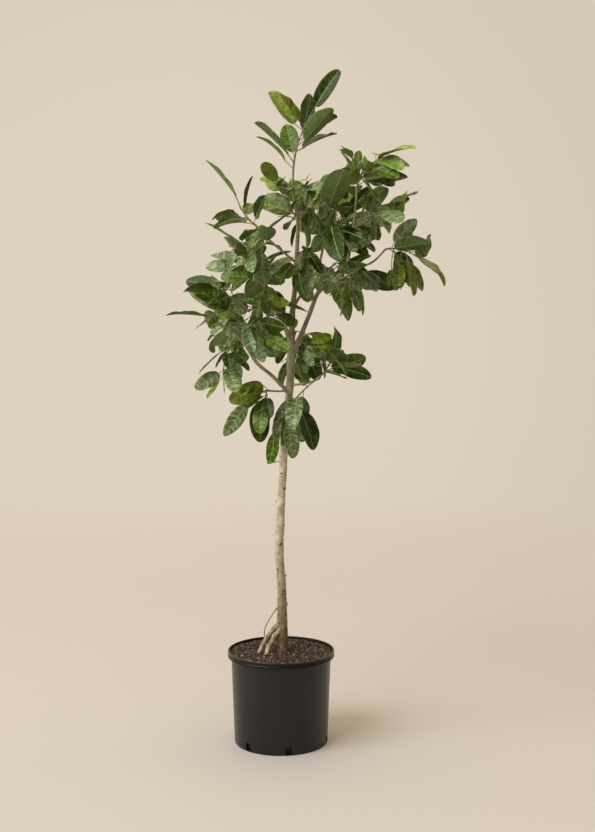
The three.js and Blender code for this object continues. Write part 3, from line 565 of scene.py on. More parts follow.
class Shell:
    """Points and faces gathered for one piece. Points are in millimetres."""

    def __init__(self):
        self.points, self.grain, self.count = [], [], 0
        self.corners, self.sizes, self.looks, self.smooth = [], [], [], []

    def add_points(self, points, grain=None):
        """Grain is where each point lies along and across its leaf."""
        start = self.count
        points = np.asarray(points, float).reshape(-1, 3)
        self.points.append(points)
        if grain is not None:
            self.grain.append(grain.reshape(-1, 2))
        self.count += len(points)
        return start

    def add_faces(self, faces, look=0, smooth=True):
        faces = np.atleast_2d(faces)
        self.corners.append(faces.ravel())
        self.sizes.append(np.full(len(faces), faces.shape[1]))
        self.looks.append(np.broadcast_to(look, len(faces)))
        self.smooth.append(np.full(len(faces), smooth))

    def add_rings(self, rings, look=0, smooth=True):
        """Joins rings of points into a skin that faces out from the axis running along them."""
        count, sides = rings.shape[:2]
        start = self.add_points(rings)
        i, k = np.meshgrid(np.arange(count - 1), np.arange(sides), indexing="ij")
        a, b = start + i * sides + k, start + i * sides + (k + 1) % sides
        self.add_faces(np.stack([a, b, b + sides, a + sides], axis=-1).reshape(-1, 4), look, smooth)
        return start

    def add_closed(self, rings, looks=0, end_look=0, smooth=True):
        """The same skin with a flat face at each end."""
        count, sides = rings.shape[:2]
        start = self.add_rings(rings, looks, smooth)
        self.add_faces(start + np.arange(sides)[::-1], end_look, smooth)
        self.add_faces(start + (count - 1) * sides + np.arange(sides), end_look, smooth)

    def add_fan(self, ring, sides, z, order=1):
        """Closes a ring with faces to a point on the z axis."""
        hub, k = self.add_points([[0, 0, z]]), np.arange(sides)
        self.add_faces(np.stack([ring + k, ring + (k + 1) % sides, np.full(sides, hub)], axis=1)[:, ::order])

    def piece(self, name, looks):
        mesh = bpy.data.meshes.new(name)
        corners, sizes = np.concatenate(self.corners), np.concatenate(self.sizes)
        mesh.vertices.add(self.count)
        mesh.loops.add(len(corners))
        mesh.polygons.add(len(sizes))
        for owner, field, values, kind in (
            (mesh.vertices, "co", np.vstack(self.points) * MM, np.float32),
            (mesh.loops, "vertex_index", corners, np.int32),
            (mesh.polygons, "loop_start", np.cumsum(sizes) - sizes, np.int32),
            (mesh.polygons, "material_index", np.concatenate(self.looks), np.int32),
            (mesh.polygons, "use_smooth", np.concatenate(self.smooth), bool),
        ):
            owner.foreach_set(field, values.astype(kind).ravel())
        if self.grain:
            flat = np.vstack(self.grain) * MM
            mesh.uv_layers.new(name="grain").data.foreach_set("uv", flat[corners].astype(np.float32).ravel())
        for look in looks:
            mesh.materials.append(look)
        mesh.update(calc_edges=True)
        mesh.validate()
        made = bpy.data.objects.new(name, mesh)
        bpy.context.collection.objects.link(made)
        return made


def round_rings(reach, height, sides):
    """Rings of points round the z axis, each from the front."""
    angle = TURN * np.arange(sides) / sides
    x, y = reach * np.sin(angle), -reach * np.cos(angle)
    return np.stack([x, y, height + 0 * x], axis=-1)


def tube_points(line, radius):
    """Rings of points round a line, without a twist. Each point has its own radius."""
    ahead = np.gradient(line, axis=0)
    ahead /= np.linalg.norm(ahead, axis=1)[:, None]
    side, sides = FRONT, []
    for way in ahead:
        side = square_to(way, side)
        sides.append(side)
    side, other = np.array(sides)[:, None], np.cross(ahead, sides)[:, None]
    angle = (TURN * np.arange(radius.shape[1]) / radius.shape[1])[None, :, None]
    return line[:, None] + radius[..., None] * (np.cos(angle) * side + np.sin(angle) * other)


def add_tube(shell, rows, sides, relief=None, look=0):
    """A closed tube along rows of points and radii. A relief says how far each point of it stands out
    and which look each face has."""
    line, radius = rows[:, :3], np.repeat(rows[:, 3:4], sides, axis=1)
    rings, looks = tube_points(line, radius), look
    if relief:
        rise, mark = relief(rings, line)
        rings, looks = tube_points(line, radius + rise), np.maximum(mark[:-1].ravel(), look)
    shell.add_closed(rings, looks, look)


def along_line(line):
    """How far along the line each of its points lies."""
    return np.concatenate([[0], np.cumsum(np.linalg.norm(np.diff(line, axis=0), axis=1))])


def resampled(rows, step):
    """Rows on the same curve, a step apart."""
    fine = smooth_rows(rows, 6)
    run = along_line(fine[:, :3])
    at = np.linspace(0, run[-1], max(3, int(run[-1] / step) + 1))
    return np.stack([np.interp(at, run, fine[:, k]) for k in range(4)], axis=1)


# Looks: every material takes its colours from noise in object space, or over the leaf, with finer
# noise for its gloss and its relief.
def feed(socket, value):
    """Links a socket from another's output, or sets it to a value."""
    if isinstance(value, bpy.types.NodeSocket):
        socket.id_data.links.new(value, socket)
    else:
        socket.default_value = value


def add_node(tree, kind, output, inputs, **settings):
    """One output of a new shader node."""
    made = tree.nodes.new("ShaderNode" + kind)
    for key, value in settings.items():
        setattr(made, key, value)
    for key, value in inputs.items():
        feed(made.inputs[key], value)
    return made.outputs[output]


def add_ramp(tree, colours, share):
    """The colour at a share of the way through (place, colour) stops."""
    colour_out = add_node(tree, "ValToRGB", "Color", {"Fac": share})
    stops = colour_out.node.color_ramp.elements
    while len(stops) < len(colours):
        stops.new(0.5)
    for stop, (at, colour) in zip(stops, colours):
        stop.position = at
        stop.color = (*colour, 1)
    return colour_out


def add_range(tree, value, low, high, **more):
    """Where a value lies between two others."""
    return add_node(tree, "MapRange", "Result", {"Value": value, "From Min": low, "From Max": high}, **more)


def plain_look(
    name, colours, size, gloss, bump, grain, distance=0.0004, stretch=(1, 1, 1), sheen=0.5, leaf=False,
):
    """Colours are (place, colour) stops of a ramp. Sizes are in millimetres."""
    look = bpy.data.materials.new(name)
    look.use_nodes = True
    tree = look.node_tree
    if leaf:
        place = add_node(tree, "UVMap", "UV", {}, uv_map="grain")
    else:
        place = add_node(tree, "TexCoord", "Object", {})
    place = add_node(tree, "Mapping", "Vector", {"Scale": stretch, "Vector": place})

    def cloud(millimetres, detail, roughness):
        inputs = {"Scale": 1 / (millimetres * MM), "Detail": detail, "Roughness": roughness, "Vector": place}
        return add_node(tree, "TexNoise", "Fac", inputs)

    surface = tree.nodes["Principled BSDF"].inputs
    feed(surface["Base Color"], add_ramp(tree, colours, cloud(size, 5, 0.6)))
    shine = add_range(tree, cloud(grain * 4, 3, 0.5), 0.3, 0.7)
    for limit, value in zip(("To Min", "To Max"), gloss):
        feed(shine.node.inputs[limit], value)
    feed(surface["Roughness"], shine)
    relief = {"Strength": bump, "Distance": distance, "Height": cloud(grain, 4, 0.6)}
    feed(surface["Normal"], add_node(tree, "Bump", "Normal", relief))
    feed(surface["Specular IOR Level"], sheen)
    return look


def shades(colour, spread):
    """Stops from a little darker to a little lighter than a colour."""
    return [(at, tuple(c * k for c in colour)) for at, k in ((0.3, 1 - spread), (0.5, 1), (0.7, 1 + spread))]


# The pot.
def arc(middle, radius, start, end, count=5):
    """Points of radius and height on a rounded edge, from one angle to another."""
    angles = np.linspace(start, end, count) * DEGREE
    return [(middle[0] + radius * math.cos(a), middle[1] + radius * math.sin(a)) for a in angles]


def wall_radius(z):
    return POT.foot + (POT.neck - POT.foot) * z / (POT.height - POT.rim_depth)


def pot_profile():
    """Radius and height, from the middle of the underside, up outside, over the rim and down inside."""
    height, rim, foot = POT.height, POT.rim, POT.foot
    under, groove, inner = height - POT.rim_depth, height - POT.groove_drop, rim - POT.lip
    return [
        (0, 2.2), (foot - 12, 2.2), (foot - 10, 0),
        *arc((foot - 2.4, 2.4), 2.4, -90, 0),
        (wall_radius(8) + 0.1, 8), (wall_radius(9), 9),
        *((wall_radius(z), z) for z in range(15, int(under) - 8, 6)),
        (wall_radius(under - 3), under - 3), (wall_radius(under) + 0.5, under - 0.6),
        (wall_radius(under) + 1.4, under),
        *arc((rim - 1.1, under + 1.1), 1.1, -90, 0),
        (rim - 0.15, under + 3.5), (rim - 0.2, groove - 2.4),
        (rim - 0.6, groove - 1.5), (rim - 1.5, groove - 0.7), (rim - 1.5, groove + 0.6),
        (rim - 0.6, groove + 1.3), (rim - 0.1, groove + 2.1), (rim, height - 3),
        *arc((rim - 1.5, height - 1.5), 1.5, 0, 90, 6),
        *arc((inner + 1.1, height - 1.1), 1.1, 90, 180),
        (inner, POT.shoulder_top + 1), (inner - 0.5, POT.shoulder_top),
        (wall_radius(POT.shoulder_bottom) - POT.wall, POT.shoulder_bottom),
        (foot - POT.wall - 1, POT.floor + 1), (foot - POT.wall - 3, POT.floor + 0.3),
        (0, POT.floor + 0.3),
    ]


def add_turned(shell, profile, sides, wobble):
    """A closed turned shape, a little out of round, from a profile that starts and ends on its axis."""
    angle = TURN * np.arange(sides) / sides
    reach, height = np.array(profile[1:-1], float).T[..., None]
    reach = reach * (1 + wobble * np.cos(2 * angle + 0.7) * (height / POT.height) ** 2)
    start = shell.add_rings(round_rings(reach, height, sides))
    shell.add_fan(start, sides, profile[0][1], -1)
    shell.add_fan(start + (len(height) - 1) * sides, sides, profile[-1][1])


def cut_holes(pot):
    """Cuts the drainage holes through the foot of the wall, three pairs round it."""
    cutters, outline = Shell(), []
    half = HOLE.width / 2 - HOLE.corner, (HOLE.top - HOLE.bottom) / 2 - HOLE.corner
    for x, z, start in ((1, -1, -90), (1, 1, 0), (-1, 1, 90), (-1, -1, 180)):
        middle = (x * half[0], (HOLE.bottom + HOLE.top) / 2 + z * half[1])
        outline += arc(middle, HOLE.corner, start, start + 90, 4)
    outline = np.array(outline)
    for pair, angle in itertools.product(range(HOLE.pairs), HOLE.angles):
        outward = outward_at(angle + pair * 360 / HOLE.pairs)
        flat = crossed(UP, outward) * outline[:, :1] + UP * outline[:, 1:]
        rings = [flat + outward * (POT.foot + deep) for deep in (-HOLE.reach, HOLE.reach)]
        cutters.add_closed(np.array(rings), smooth=False)
    cutter = cutters.piece("cutter", [])
    cut = pot.modifiers.new("holes", "BOOLEAN")
    cut.object, cut.operation, cut.solver = cutter, "DIFFERENCE", "EXACT"
    evaluated = pot.evaluated_get(bpy.context.evaluated_depsgraph_get())
    mesh = bpy.data.meshes.new_from_object(evaluated)
    pot.modifiers.clear()
    pot.data = mesh
    bpy.data.objects.remove(cutter)


# The potting mix: a bumpy bed, and bits of bark and perlite spread over it.
BED = Values(radius=133.6, rings=46, sides=132, drop=1.6, mound=2.2, mound_reach=30)
# Its lumps: how high, how wide, and the seed.
LUMPS = ((1.6, 24, 5), (0.8, 9, 6), (0.5, 4, 7))
# Its sides in the pot: radius and height.
BED_WALL = ((115, 5), (wall_radius(120) - POT.wall - 0.6, 120), (126.5, 229))
# Kinds of bits: colour, how many, half length, half width and half height as shares of that, and how
# rounded they are.
BITS = {
    "bits_dark": ((0.012, 0.008, 0.005), 1500, (1.6, 4.2), (0.35, 0.8), (0.25, 0.5), 0.25),
    "bits_brown": ((0.060, 0.039, 0.022), 1700, (1.4, 3.6), (0.3, 0.75), (0.2, 0.45), 0.2),
    "bits_red": ((0.11, 0.058, 0.030), 130, (1.8, 4.6), (0.25, 0.6), (0.2, 0.4), 0.15),
    "bits_tan": ((0.245, 0.195, 0.125), 1000, (1.1, 2.9), (0.25, 0.7), (0.2, 0.4), 0.2),
    "bits_pale": ((0.50, 0.48, 0.42), 45, (1.0, 2.6), (0.7, 1.0), (0.6, 0.9), 0.75),
}
BIT = Values(tilt=0.45, roll=0.5, sunk=(-0.35, 0.75), swell=1.2, share=0.85, rough=0.22, smooth=0.5)


def bed_height(x, y):
    """The mix's surface: loose, a little higher round the trunk."""
    at = np.stack([x, y, np.zeros_like(x)], axis=-1)
    rise = sum(high * noise(at, wide, seed) for high, wide, seed in LUMPS)
    mound = BED.mound * np.exp(-((x - 2) ** 2 + y ** 2) / BED.mound_reach ** 2)
    return MIX_TOP - BED.drop + rise + mound


def add_bed(shell):
    wall = [round_rings(radius, z, BED.sides) for radius, z in BED_WALL]
    top = round_rings(BED.radius * (np.arange(1, BED.rings + 1) / BED.rings)[::-1, None], 0, BED.sides)
    top[..., 2] = bed_height(top[..., 0], top[..., 1])
    start = shell.add_rings(np.concatenate([wall, top]))
    shell.add_faces(start + np.arange(BED.sides)[::-1], smooth=False)
    last = len(wall) + BED.rings - 1
    shell.add_fan(start + last * BED.sides, BED.sides, bed_height(np.zeros(1), np.zeros(1))[0])


def lump_template():
    """A cube with each face in four, as a start for a rounded bit."""
    points, faces, seen = [], [], {}

    def corner(*place):
        if place not in seen:
            seen[place] = len(points)
            points.append(place)
        return seen[place]

    for axis, sign in itertools.product(range(3), (-1, 1)):
        for i, j in itertools.product((-1, 0), repeat=2):
            loop = []
            for a, b in ((i, j), (i + 1, j), (i + 1, j + 1), (i, j + 1)):
                place = [0, 0, 0]
                place[axis], place[(axis + 1) % 3], place[(axis + 2) % 3] = sign, a, b
                loop.append(corner(*place))
            faces.append(loop if sign > 0 else loop[::-1])
    return np.array(points, float), np.array(faces)


def rotated(shape, axis, angle):
    """Points turned about one of the three axes."""
    a, b = (axis + 1) % 3, (axis + 2) % 3
    matrix = np.eye(3)
    matrix[a, a] = matrix[b, b] = math.cos(angle)
    matrix[a, b], matrix[b, a] = math.sin(angle), -math.sin(angle)
    return shape @ matrix


def add_bits(shell, seed, count, long, wide, high, roundness):
    cube, faces = lump_template()
    ball = cube / np.linalg.norm(cube, axis=1)[:, None]
    lump = (cube * (1 - roundness) + ball * roundness * BIT.swell) * BIT.share
    dice = Dice(seed)
    for k in range(count):
        half = dice.between(*long)
        size = half * vector(1, dice.between(*wide), dice.between(*high))
        turn, tilt = dice.between(0, TURN), dice.between(-BIT.tilt, BIT.tilt)
        roll = dice.between(-BIT.roll, BIT.roll)
        reach = (BED.radius - 1 - half) * math.sqrt(dice.roll())
        angle = dice.between(0, TURN)
        sunk = dice.between(*BIT.sunk)
        x, y = 0.5 + reach * math.cos(angle), reach * math.sin(angle)
        shape = lump * (1 + BIT.rough * noise(cube * 1.7 + k * 7.3, 1.3, seed))[:, None] * size
        shape = rotated(rotated(rotated(shape, 0, roll), 1, -tilt), 2, turn)
        middle = vector(x, y, float(bed_height(vector(x), vector(y))[0]) + size[2] * sunk)
        shell.add_faces(faces + shell.add_points(shape + middle), smooth=roundness > BIT.smooth)


# Bark.
# Knots on the trunk: the height, the angle from the front, the reach, how proud and how deep.
KNOTS = (
    (666, 42, 5.6, 1.3, 1.8), (521, 14, 5.0, 0.9, 1.5), (705, -25, 3.8, 0.8, 1.1), (454, -46, 4.4, 0.5, 1.1),
    (417, -28, 3.6, 0.5, 0.9), (400, 18, 3.4, 0.5, 0.9), (363, 82, 5.5, 2.6, 0.0), (600, 150, 3.4, 1.3, 1.4),
    (480, 215, 3.0, 1.2, 1.2), (820, 170, 3.6, 1.5, 1.5), (880, 60, 3.2, 1.0, 1.2), (300, 40, 4.5, 1.2, 0.9),
)
# The pit in a knot: how much narrower it is than the knot, and how much of the knot is dark.
PIT = Values(narrow=2.4, dark=0.7)
# Small specks on the foot of the trunk, of the same kind, from a height up.
SPECKS = Values(seed=77, count=46, bottom=242, spread=190, reach=(1.8, 3.6), proud=0.3, deep=0.5)
# Dry stubs on the trunk: the height, the angle from the front, the length and the radius.
STUBS = ((630, -84, 4.0, 1.1), (436, 84, 3.0, 1.2))
# A stub's rows: how far out, in lengths or sunk in millimetres, the share of the radius, and the rise.
STUB_ROWS = ((-2, 1.4, -1.0), (0.35, 1.0, 1.6), (1, 0.65, 5.0))
# How much stouter the visible trunk is in radius than its solid.
STOUTER = 0.7
# Full rings on the trunk: the height, and how wide and how proud.
TRUNK_RINGS = ((571, 2.4, 1.0), (566, 1.4, 0.7), (481, 1.3, 0.6), (686, 1.1, 0.5))
# Ring scars: how far the first is from the start and from each other, how far they tilt, how far they
# reach round, how wide and how proud they are, and how strong a scar is that takes the ring's look.
SCAR = Values(
    first=(4, 16), apart=(9, 30), tilt=1.6, spread=(-0.2, 1.0), wide=(0.75, 1.3), proud=(0.3, 0.75),
    marked=0.86,
)
# A bough's collar: how much thicker it is, and how far it reaches along the bough.
FLARE, FLARE_REACH = 0.5, 13
# The rough foot of the trunk: where it ends, over what height it fades in, and how proud it is.
FOOT = Values(top=345, fade=110, proud=1.3)


def on_trunk(rows, z, angle):
    """A point on the trunk's surface, and the way out there."""
    row = [np.interp(z, rows[:, 2], rows[:, k]) for k in range(4)]
    outward = outward_at(angle)
    return vector(*row[:3]) + outward * row[3], outward


def knot_places(rows):
    """The knots and the specks as points on the trunk's surface."""
    dice = Dice(SPECKS.seed)
    specks = [
        (dice.between(SPECKS.bottom, SPECKS.bottom + SPECKS.spread * dice.roll()), dice.between(0, 360),
         dice.between(*SPECKS.reach), SPECKS.proud, SPECKS.deep)
        for _ in range(SPECKS.count)
    ]
    return [(on_trunk(rows, z, angle)[0], *knot) for z, angle, *knot in (*KNOTS, *specks)]


def stub_rows(rows, z, angle, reach, radius):
    start, outward = on_trunk(rows, z, angle)
    return np.array([
        [*(start + outward * (far * reach if far > 0 else far) + UP * lift), radius * share]
        for far, share, lift in STUB_ROWS
    ])


def bark_surface(rings, line, seed, size, knots, bands):
    """How far the bark stands out at each point, and which faces are ring scars or dark knots."""
    run = along_line(line)[:, None]
    angle = TURN * np.arange(rings.shape[1]) / rings.shape[1]
    rise = size * (0.6 * noise(rings, 30, seed) + 0.34 * noise(rings, 11, seed + 1))
    rise += size * 0.2 * noise(rings * vector(1, 1, 1.6), 4, seed + 2)
    mark = np.zeros(rings.shape[:2])
    dice = Dice(seed)
    at = dice.between(*SCAR.first)
    while at < run[-1, 0]:
        tilt, middle, spread = dice.between(0, SCAR.tilt), dice.between(0, TURN), dice.between(*SCAR.spread)
        off = (run - at - tilt * np.cos(angle - middle)) / dice.between(*SCAR.wide)
        scar = bell(off) * np.clip(0.5 + spread + np.cos(angle - middle), 0, 1)
        rise += size * dice.between(*SCAR.proud) * scar
        mark = np.maximum(mark, scar)
        at += dice.between(*SCAR.apart)
    for z, wide, proud in bands:
        band = bell((rings[..., 2] - z - 1.2 * np.cos(angle - 0.8)) / wide)
        rise += proud * band
        mark = np.maximum(mark, band)
    low = np.clip((FOOT.top - rings[..., 2]) / FOOT.fade, 0, 1)
    if knots:
        rise += FOOT.proud * low * size
    rough = 1.3 * noise(rings * vector(1, 1, 0.7), 6, seed + 3) + 0.8 * noise(rings, 2.6, seed + 4)
    rise += low * size * rough
    dark = np.zeros(rings.shape[:2], bool)
    for point, reach, proud, deep in knots:
        apart = np.linalg.norm(rings - point, axis=2) / reach
        rise += proud * bell(apart)
        if deep:
            rise -= (proud + deep) * bell(apart * PIT.narrow)
            dark |= apart < PIT.dark
    return rise, np.where(dark, 2, np.where(mark > SCAR.marked, 1, 0))


def add_limb(shell, rows, step, sides, seed, size, knots=(), bands=(), flare=0.0, look=0):
    """A limb with bark, thickened into a collar where it leaves its host."""
    rows = resampled(rows, step)
    rows[:, 3] *= 1 + flare * bell(along_line(rows[:, :3]) / FLARE_REACH)

    def bark(rings, line):
        return bark_surface(rings, line, seed, size, knots, bands)

    add_tube(shell, rows, sides, bark, look)


# Twigs, petioles and buds. A twig's swelling at each leaf, and the ring scar above it.
SWELLING = Values(high=0.42, wide=2.4, scar_high=0.3, scar_wide=0.7, scar_at=2.6, scar_half=0.9, near=3)
# A petiole's places, its radii for a leaf of 100 mm, and how far it sags and runs under the midrib.
PETIOLE = Values(
    places=(0.08, 0.25, 0.45, 0.65, 0.82, 0.94), root=1.75, radius=1.08, base=1.2, end=0.75, sag=0.4,
    under=0.5, sides=8,
)
# A bud's rows: the share of its length, and its width in radii of the twig.
BUD = ((-0.1, 0.9), (0, 1.05), (0.15, 1.45), (0.35, 1.4), (0.6, 0.95), (0.82, 0.5), (1, 0.1))


def grown_back(rows, depth, collar):
    """The rows with their start carried back into what they grow on, thickened there."""
    back = unit(rows[0, :3] - rows[1, :3])
    first = [*(rows[0, :3] + back * depth), rows[0, 3] * collar]
    second = [*rows[0, :3], rows[0, 3] * (1 + (collar - 1) * 0.55)]
    return np.vstack([first, second, rows[1:]])


def add_twig(shell, rows, leaves, seed):

    def skin(rings, line):
        rise = 0.16 * noise(rings, 6, seed) + 0.08 * noise(rings, 2.2, seed + 1)
        mark, run = np.zeros(rings.shape[:2], int), along_line(line)
        for leaf in leaves:
            apart = np.linalg.norm(line - leaf.root, axis=1)
            if apart.min() <= SWELLING.near:
                off = (run - run[apart.argmin()])[:, None]
                past = off - SWELLING.scar_at
                rise += SWELLING.high * bell(off / SWELLING.wide)
                rise += SWELLING.scar_high * bell(past / SWELLING.scar_wide)
                mark |= np.abs(past) < SWELLING.scar_half
        return rise, mark

    add_tube(shell, resampled(rows, 1.6), 12, skin)


def add_petiole(shell, leaf):
    """A petiole from its twig to the leaf's base, running on a little under the midrib."""
    root, knee, base = leaf.root, leaf.knee, leaf.base
    size = leaf.length / 100
    (middle,), (lift,) = blade_frame(leaf, np.array([[0.05]]))
    rows = [[*root, PETIOLE.root * size]]
    for t in PETIOLE.places:
        first, second = root + (knee - root) * t, knee + (base - knee) * t
        point = first + (second - first) * t - lift * PETIOLE.sag * t
        swell = 0.5 * bell((t - 0.94) / 0.12) + 0.45 * bell(t / 0.12)
        rows.append([*point, (PETIOLE.radius + swell * 0.6) * size])
    for point, radius in ((base, PETIOLE.base), (middle, PETIOLE.end)):
        rows.append([*(point - lift * PETIOLE.under), radius * size])
    add_tube(shell, np.array(rows), PETIOLE.sides)


def add_bud(shell, rows, dice):
    """The pointed sheath at the end of a twig."""
    tip, ahead = rows[-1, :3], unit(rows[-1, :3] - rows[-2, :3])
    long, radius = dice.between(9, 15), rows[-1, 3]
    side = turned(square_to(ahead, UP), ahead, dice.between(0, TURN))
    bud = [[*(tip + ahead * long * share + side * 1.3 * share ** 2), radius * wide] for share, wide in BUD]
    add_tube(shell, np.array(bud), 10)


# Leaves.
VEINS = Values(count=8, start=0.085, end=0.885, half=0.0058, sweep=0.13)
# How a blade strays from its plain shape, as ranges, then its half thickness and the relief of its veins.
BLADE = Values(
    bluntness=(0.4, 0.58), share=0.49, waves=(1.3, 2.6), wave=(0.3, 2.2), curl=(-0.1, 0.35),
    edge=(0.0, 1.2), twist=(-0.3, 0.3), grain=(0, 3000), half=0.32, edge_half=0.17, pillow=0.36,
    sunk=0.15, groove=0.35, keel=0.75, ridge=0.3,
)
# Places across half a blade, from the edge of the rib to the edge of the blade.
SPREAD = (0.0, 0.3, 0.62, 0.86, 1.0)


def blade_rows():
    """Places along the blade, and for each 1 at the edge of a side vein, 2 between veins and else 0."""
    gap = (VEINS.end - VEINS.start) / (VEINS.count - 1)
    rows = [(0.003, 0), (0.018, 0), (0.045, 0)]
    for k in range(VEINS.count):
        at = VEINS.start + gap * k
        rows += [(at - VEINS.half, 1), (at + VEINS.half, 1), (at + gap * 0.5, 2)]
    return np.array([*rows[:-1], (0.935, 0), (0.965, 0), (0.986, 0), (0.9975, 0)])


def blade_faces(kind):
    """Faces of a blade: its top, its underside and the wall round its edge, with their looks."""
    rows, columns = len(kind), 2 * len(SPREAD)
    i, j = np.meshgrid(np.arange(rows - 1), np.arange(columns - 1), indexing="ij")
    a = i * columns + j
    top = np.stack([a, a + 1, a + columns + 1, a + columns], axis=-1).reshape(-1, 4)
    rib = j == len(SPREAD) - 1
    vein = (kind[i] == 1) & (kind[i + 1] == 1) & (j > 0) & (j < columns - 2)
    looks = np.where(rib, 2, np.where(vein, 1, 0)).ravel()
    under = np.where(rib, 2, 3).ravel()
    size = rows * columns
    edge = np.array([
        *range(columns), *range(2 * columns - 1, size, columns),
        *range(size - 2, size - columns - 1, -1), *range(size - 2 * columns, 0, -columns),
    ])
    after = np.roll(edge, -1)
    wall = np.stack([edge, edge + size, after + size, after], axis=-1)
    # The wall round the edge takes the rib's pale look: a pale margin that also paints a thin highlight round
    # the blade.
    return (top, looks), (top[:, ::-1] + size, under), (wall, 2, False)


BLADE_PLACES, BLADE_KINDS = blade_rows().T[..., None]
BLADE_FACES = blade_faces(BLADE_KINDS[:, 0])


def add_blade(shell, leaf, dice):
    """A blade whose ends are blunter than in the rule's plain outline, which its width makes up for."""
    outline = dice.between(*BLADE.bluntness), BLADE.share
    place, kind, size = BLADE_PLACES, BLADE_KINDS, leaf.length / 100
    rib = np.minimum((1.05 - 0.5 * place) * size / (half_width(place, *outline) * leaf.width), 0.45)
    side = rib + (1 - rib) * np.array(SPREAD)
    across = np.concatenate([-side[:, ::-1], side], axis=1)
    out, hand = np.abs(across), np.sign(across)
    along = place + VEINS.sweep * out ** 1.2 * np.sin(math.pi * place)
    middle, lift = blade_frame(leaf, along[..., None])
    reach = half_width(along, *outline) * leaf.width
    phase, waves = (dice.between(0, 1), dice.between(0, 1)), dice.between(*BLADE.waves)
    wave = np.sin(TURN * (along * waves + np.where(hand > 0, *phase)))
    rise = reach * out ** 1.3 * math.sin(leaf.fold)
    rise += dice.between(*BLADE.wave) * size * wave * out ** 1.8 * np.sin(math.pi * along) ** 0.5
    rise -= dice.between(*BLADE.curl) * leaf.length * np.clip(along - 0.7, 0, 1) ** 2
    rise -= dice.between(*BLADE.edge) * size * out ** 6
    inside = 1 - np.clip((out - 0.75) / 0.25, 0, 1)
    pillow = np.where(kind == 2, BLADE.pillow, np.where(kind == 1, -BLADE.sunk, 0.0))
    pillow = pillow * size * inside * np.minimum(1, 3 * out)
    twist = (dice.between(*BLADE.twist) * (along - 0.3))[..., None]
    flat = leaf.side * np.cos(twist) + lift * np.sin(twist)
    lift = lift * np.cos(twist) - leaf.side * np.sin(twist)
    flatness = math.cos(leaf.fold)
    skin = middle + (reach * across * flatness)[..., None] * flat + rise[..., None] * lift
    normal = lift * flatness - flat * (hand * math.sin(leaf.fold))[..., None]
    thick = BLADE.edge_half + (BLADE.half - BLADE.edge_half) * inside
    groove = np.zeros_like(out)
    groove[:, len(SPREAD) - 1:len(SPREAD) + 1] = 1
    keel = BLADE.keel * groove * size * (1 - place) ** 0.6
    ridge = np.where(kind == 1, BLADE.ridge, 0) * size * inside * (1 - groove)
    top = skin + (thick + pillow - BLADE.groove * groove * size)[..., None] * normal
    under = skin - (thick - np.maximum(pillow, 0) + keel + ridge)[..., None] * normal
    row = place * leaf.length + dice.between(*BLADE.grain)
    grain = np.stack([row + 0 * reach, reach * across + dice.between(*BLADE.grain)], axis=-1)
    start = shell.add_points(top, grain)
    shell.add_points(under, grain)
    for faces, *rest in BLADE_FACES:
        shell.add_faces(faces + start, *rest)


def add_sprout(blades, petioles):
    """The one small leaf low on the trunk, and the bare stalk that rises beside it."""
    axis = unit(vector(-0.96, -0.26, -0.05))
    normal = square_to(axis, vector(0.1, -0.45, 1))
    leaf = Values(
        root=vector(-2.5, -3.5, 734), knee=vector(-7, -5.5, 736), base=vector(-11, -7, 736.5), axis=axis,
        normal=normal, side=crossed(axis, normal), length=27, width=11, arch=0.2, fold=0.25,
    )
    add_blade(blades, leaf, Dice(4))
    add_petiole(petioles, leaf)
    stalk = (
        (-2, -3, 735, 1.0), (-9, -6, 738, 0.85), (-16, -9, 746, 0.75), (-20, -11, 760, 0.7),
        (-21, -11, 764, 0.3),
    )
    add_tube(petioles, resampled(smooth_rows(stalk), 2), 8)


# The colours, as light leaves them, not as the photograph shows them. For each tint of leaf: the dark,
# the face and the pale of its top, its underside, and its sheen and gloss. The top goes in streaks
# from the dark to the pale, and the pale streaks are painted sheen.
TINTS = {
    "deep": (((0.009, 0.026, 0.0010), (0.021, 0.050, 0.0025), (0.066, 0.112, 0.0220)),
             (0.078, 0.136, 0.017), 0.2, (0.26, 0.46)),
    "mid": (((0.028, 0.068, 0.0022), (0.061, 0.124, 0.0050), (0.195, 0.285, 0.0620)),
            (0.098, 0.170, 0.018), 0.25, (0.26, 0.46)),
    "olive": (((0.088, 0.146, 0.0045), (0.150, 0.222, 0.0090), (0.310, 0.380, 0.0800)),
              (0.155, 0.228, 0.026), 0.2, (0.26, 0.46)),
    "young": (((0.138, 0.238, 0.0260), (0.198, 0.312, 0.0480), (0.310, 0.430, 0.1200)),
              (0.200, 0.300, 0.055), 0.22, (0.26, 0.46)),
    # Grey leaves are greyed partly as a dusty bloom and partly as painted sheen.
    "grey": (((0.046, 0.094, 0.0140), (0.110, 0.186, 0.0560), (0.340, 0.440, 0.2400)),
             (0.145, 0.220, 0.070), 0.5, (0.36, 0.55)),
}
# The chances up to which each tint goes. Leaves near a twig's tip may be young instead.
CHANCES = (("deep", 0.33), ("mid", 0.62), ("olive", 0.77), ("grey", 1.1))
PLASTIC = ((0.3, (0.0036, 0.0043, 0.0039)), (0.6, (0.0054, 0.0062, 0.0056)), (0.8, (0.011, 0.012, 0.0105)))
SOIL = ((0.38, (0.004, 0.003, 0.002)), (0.5, (0.018, 0.011, 0.007)), (0.66, (0.060, 0.038, 0.023)))
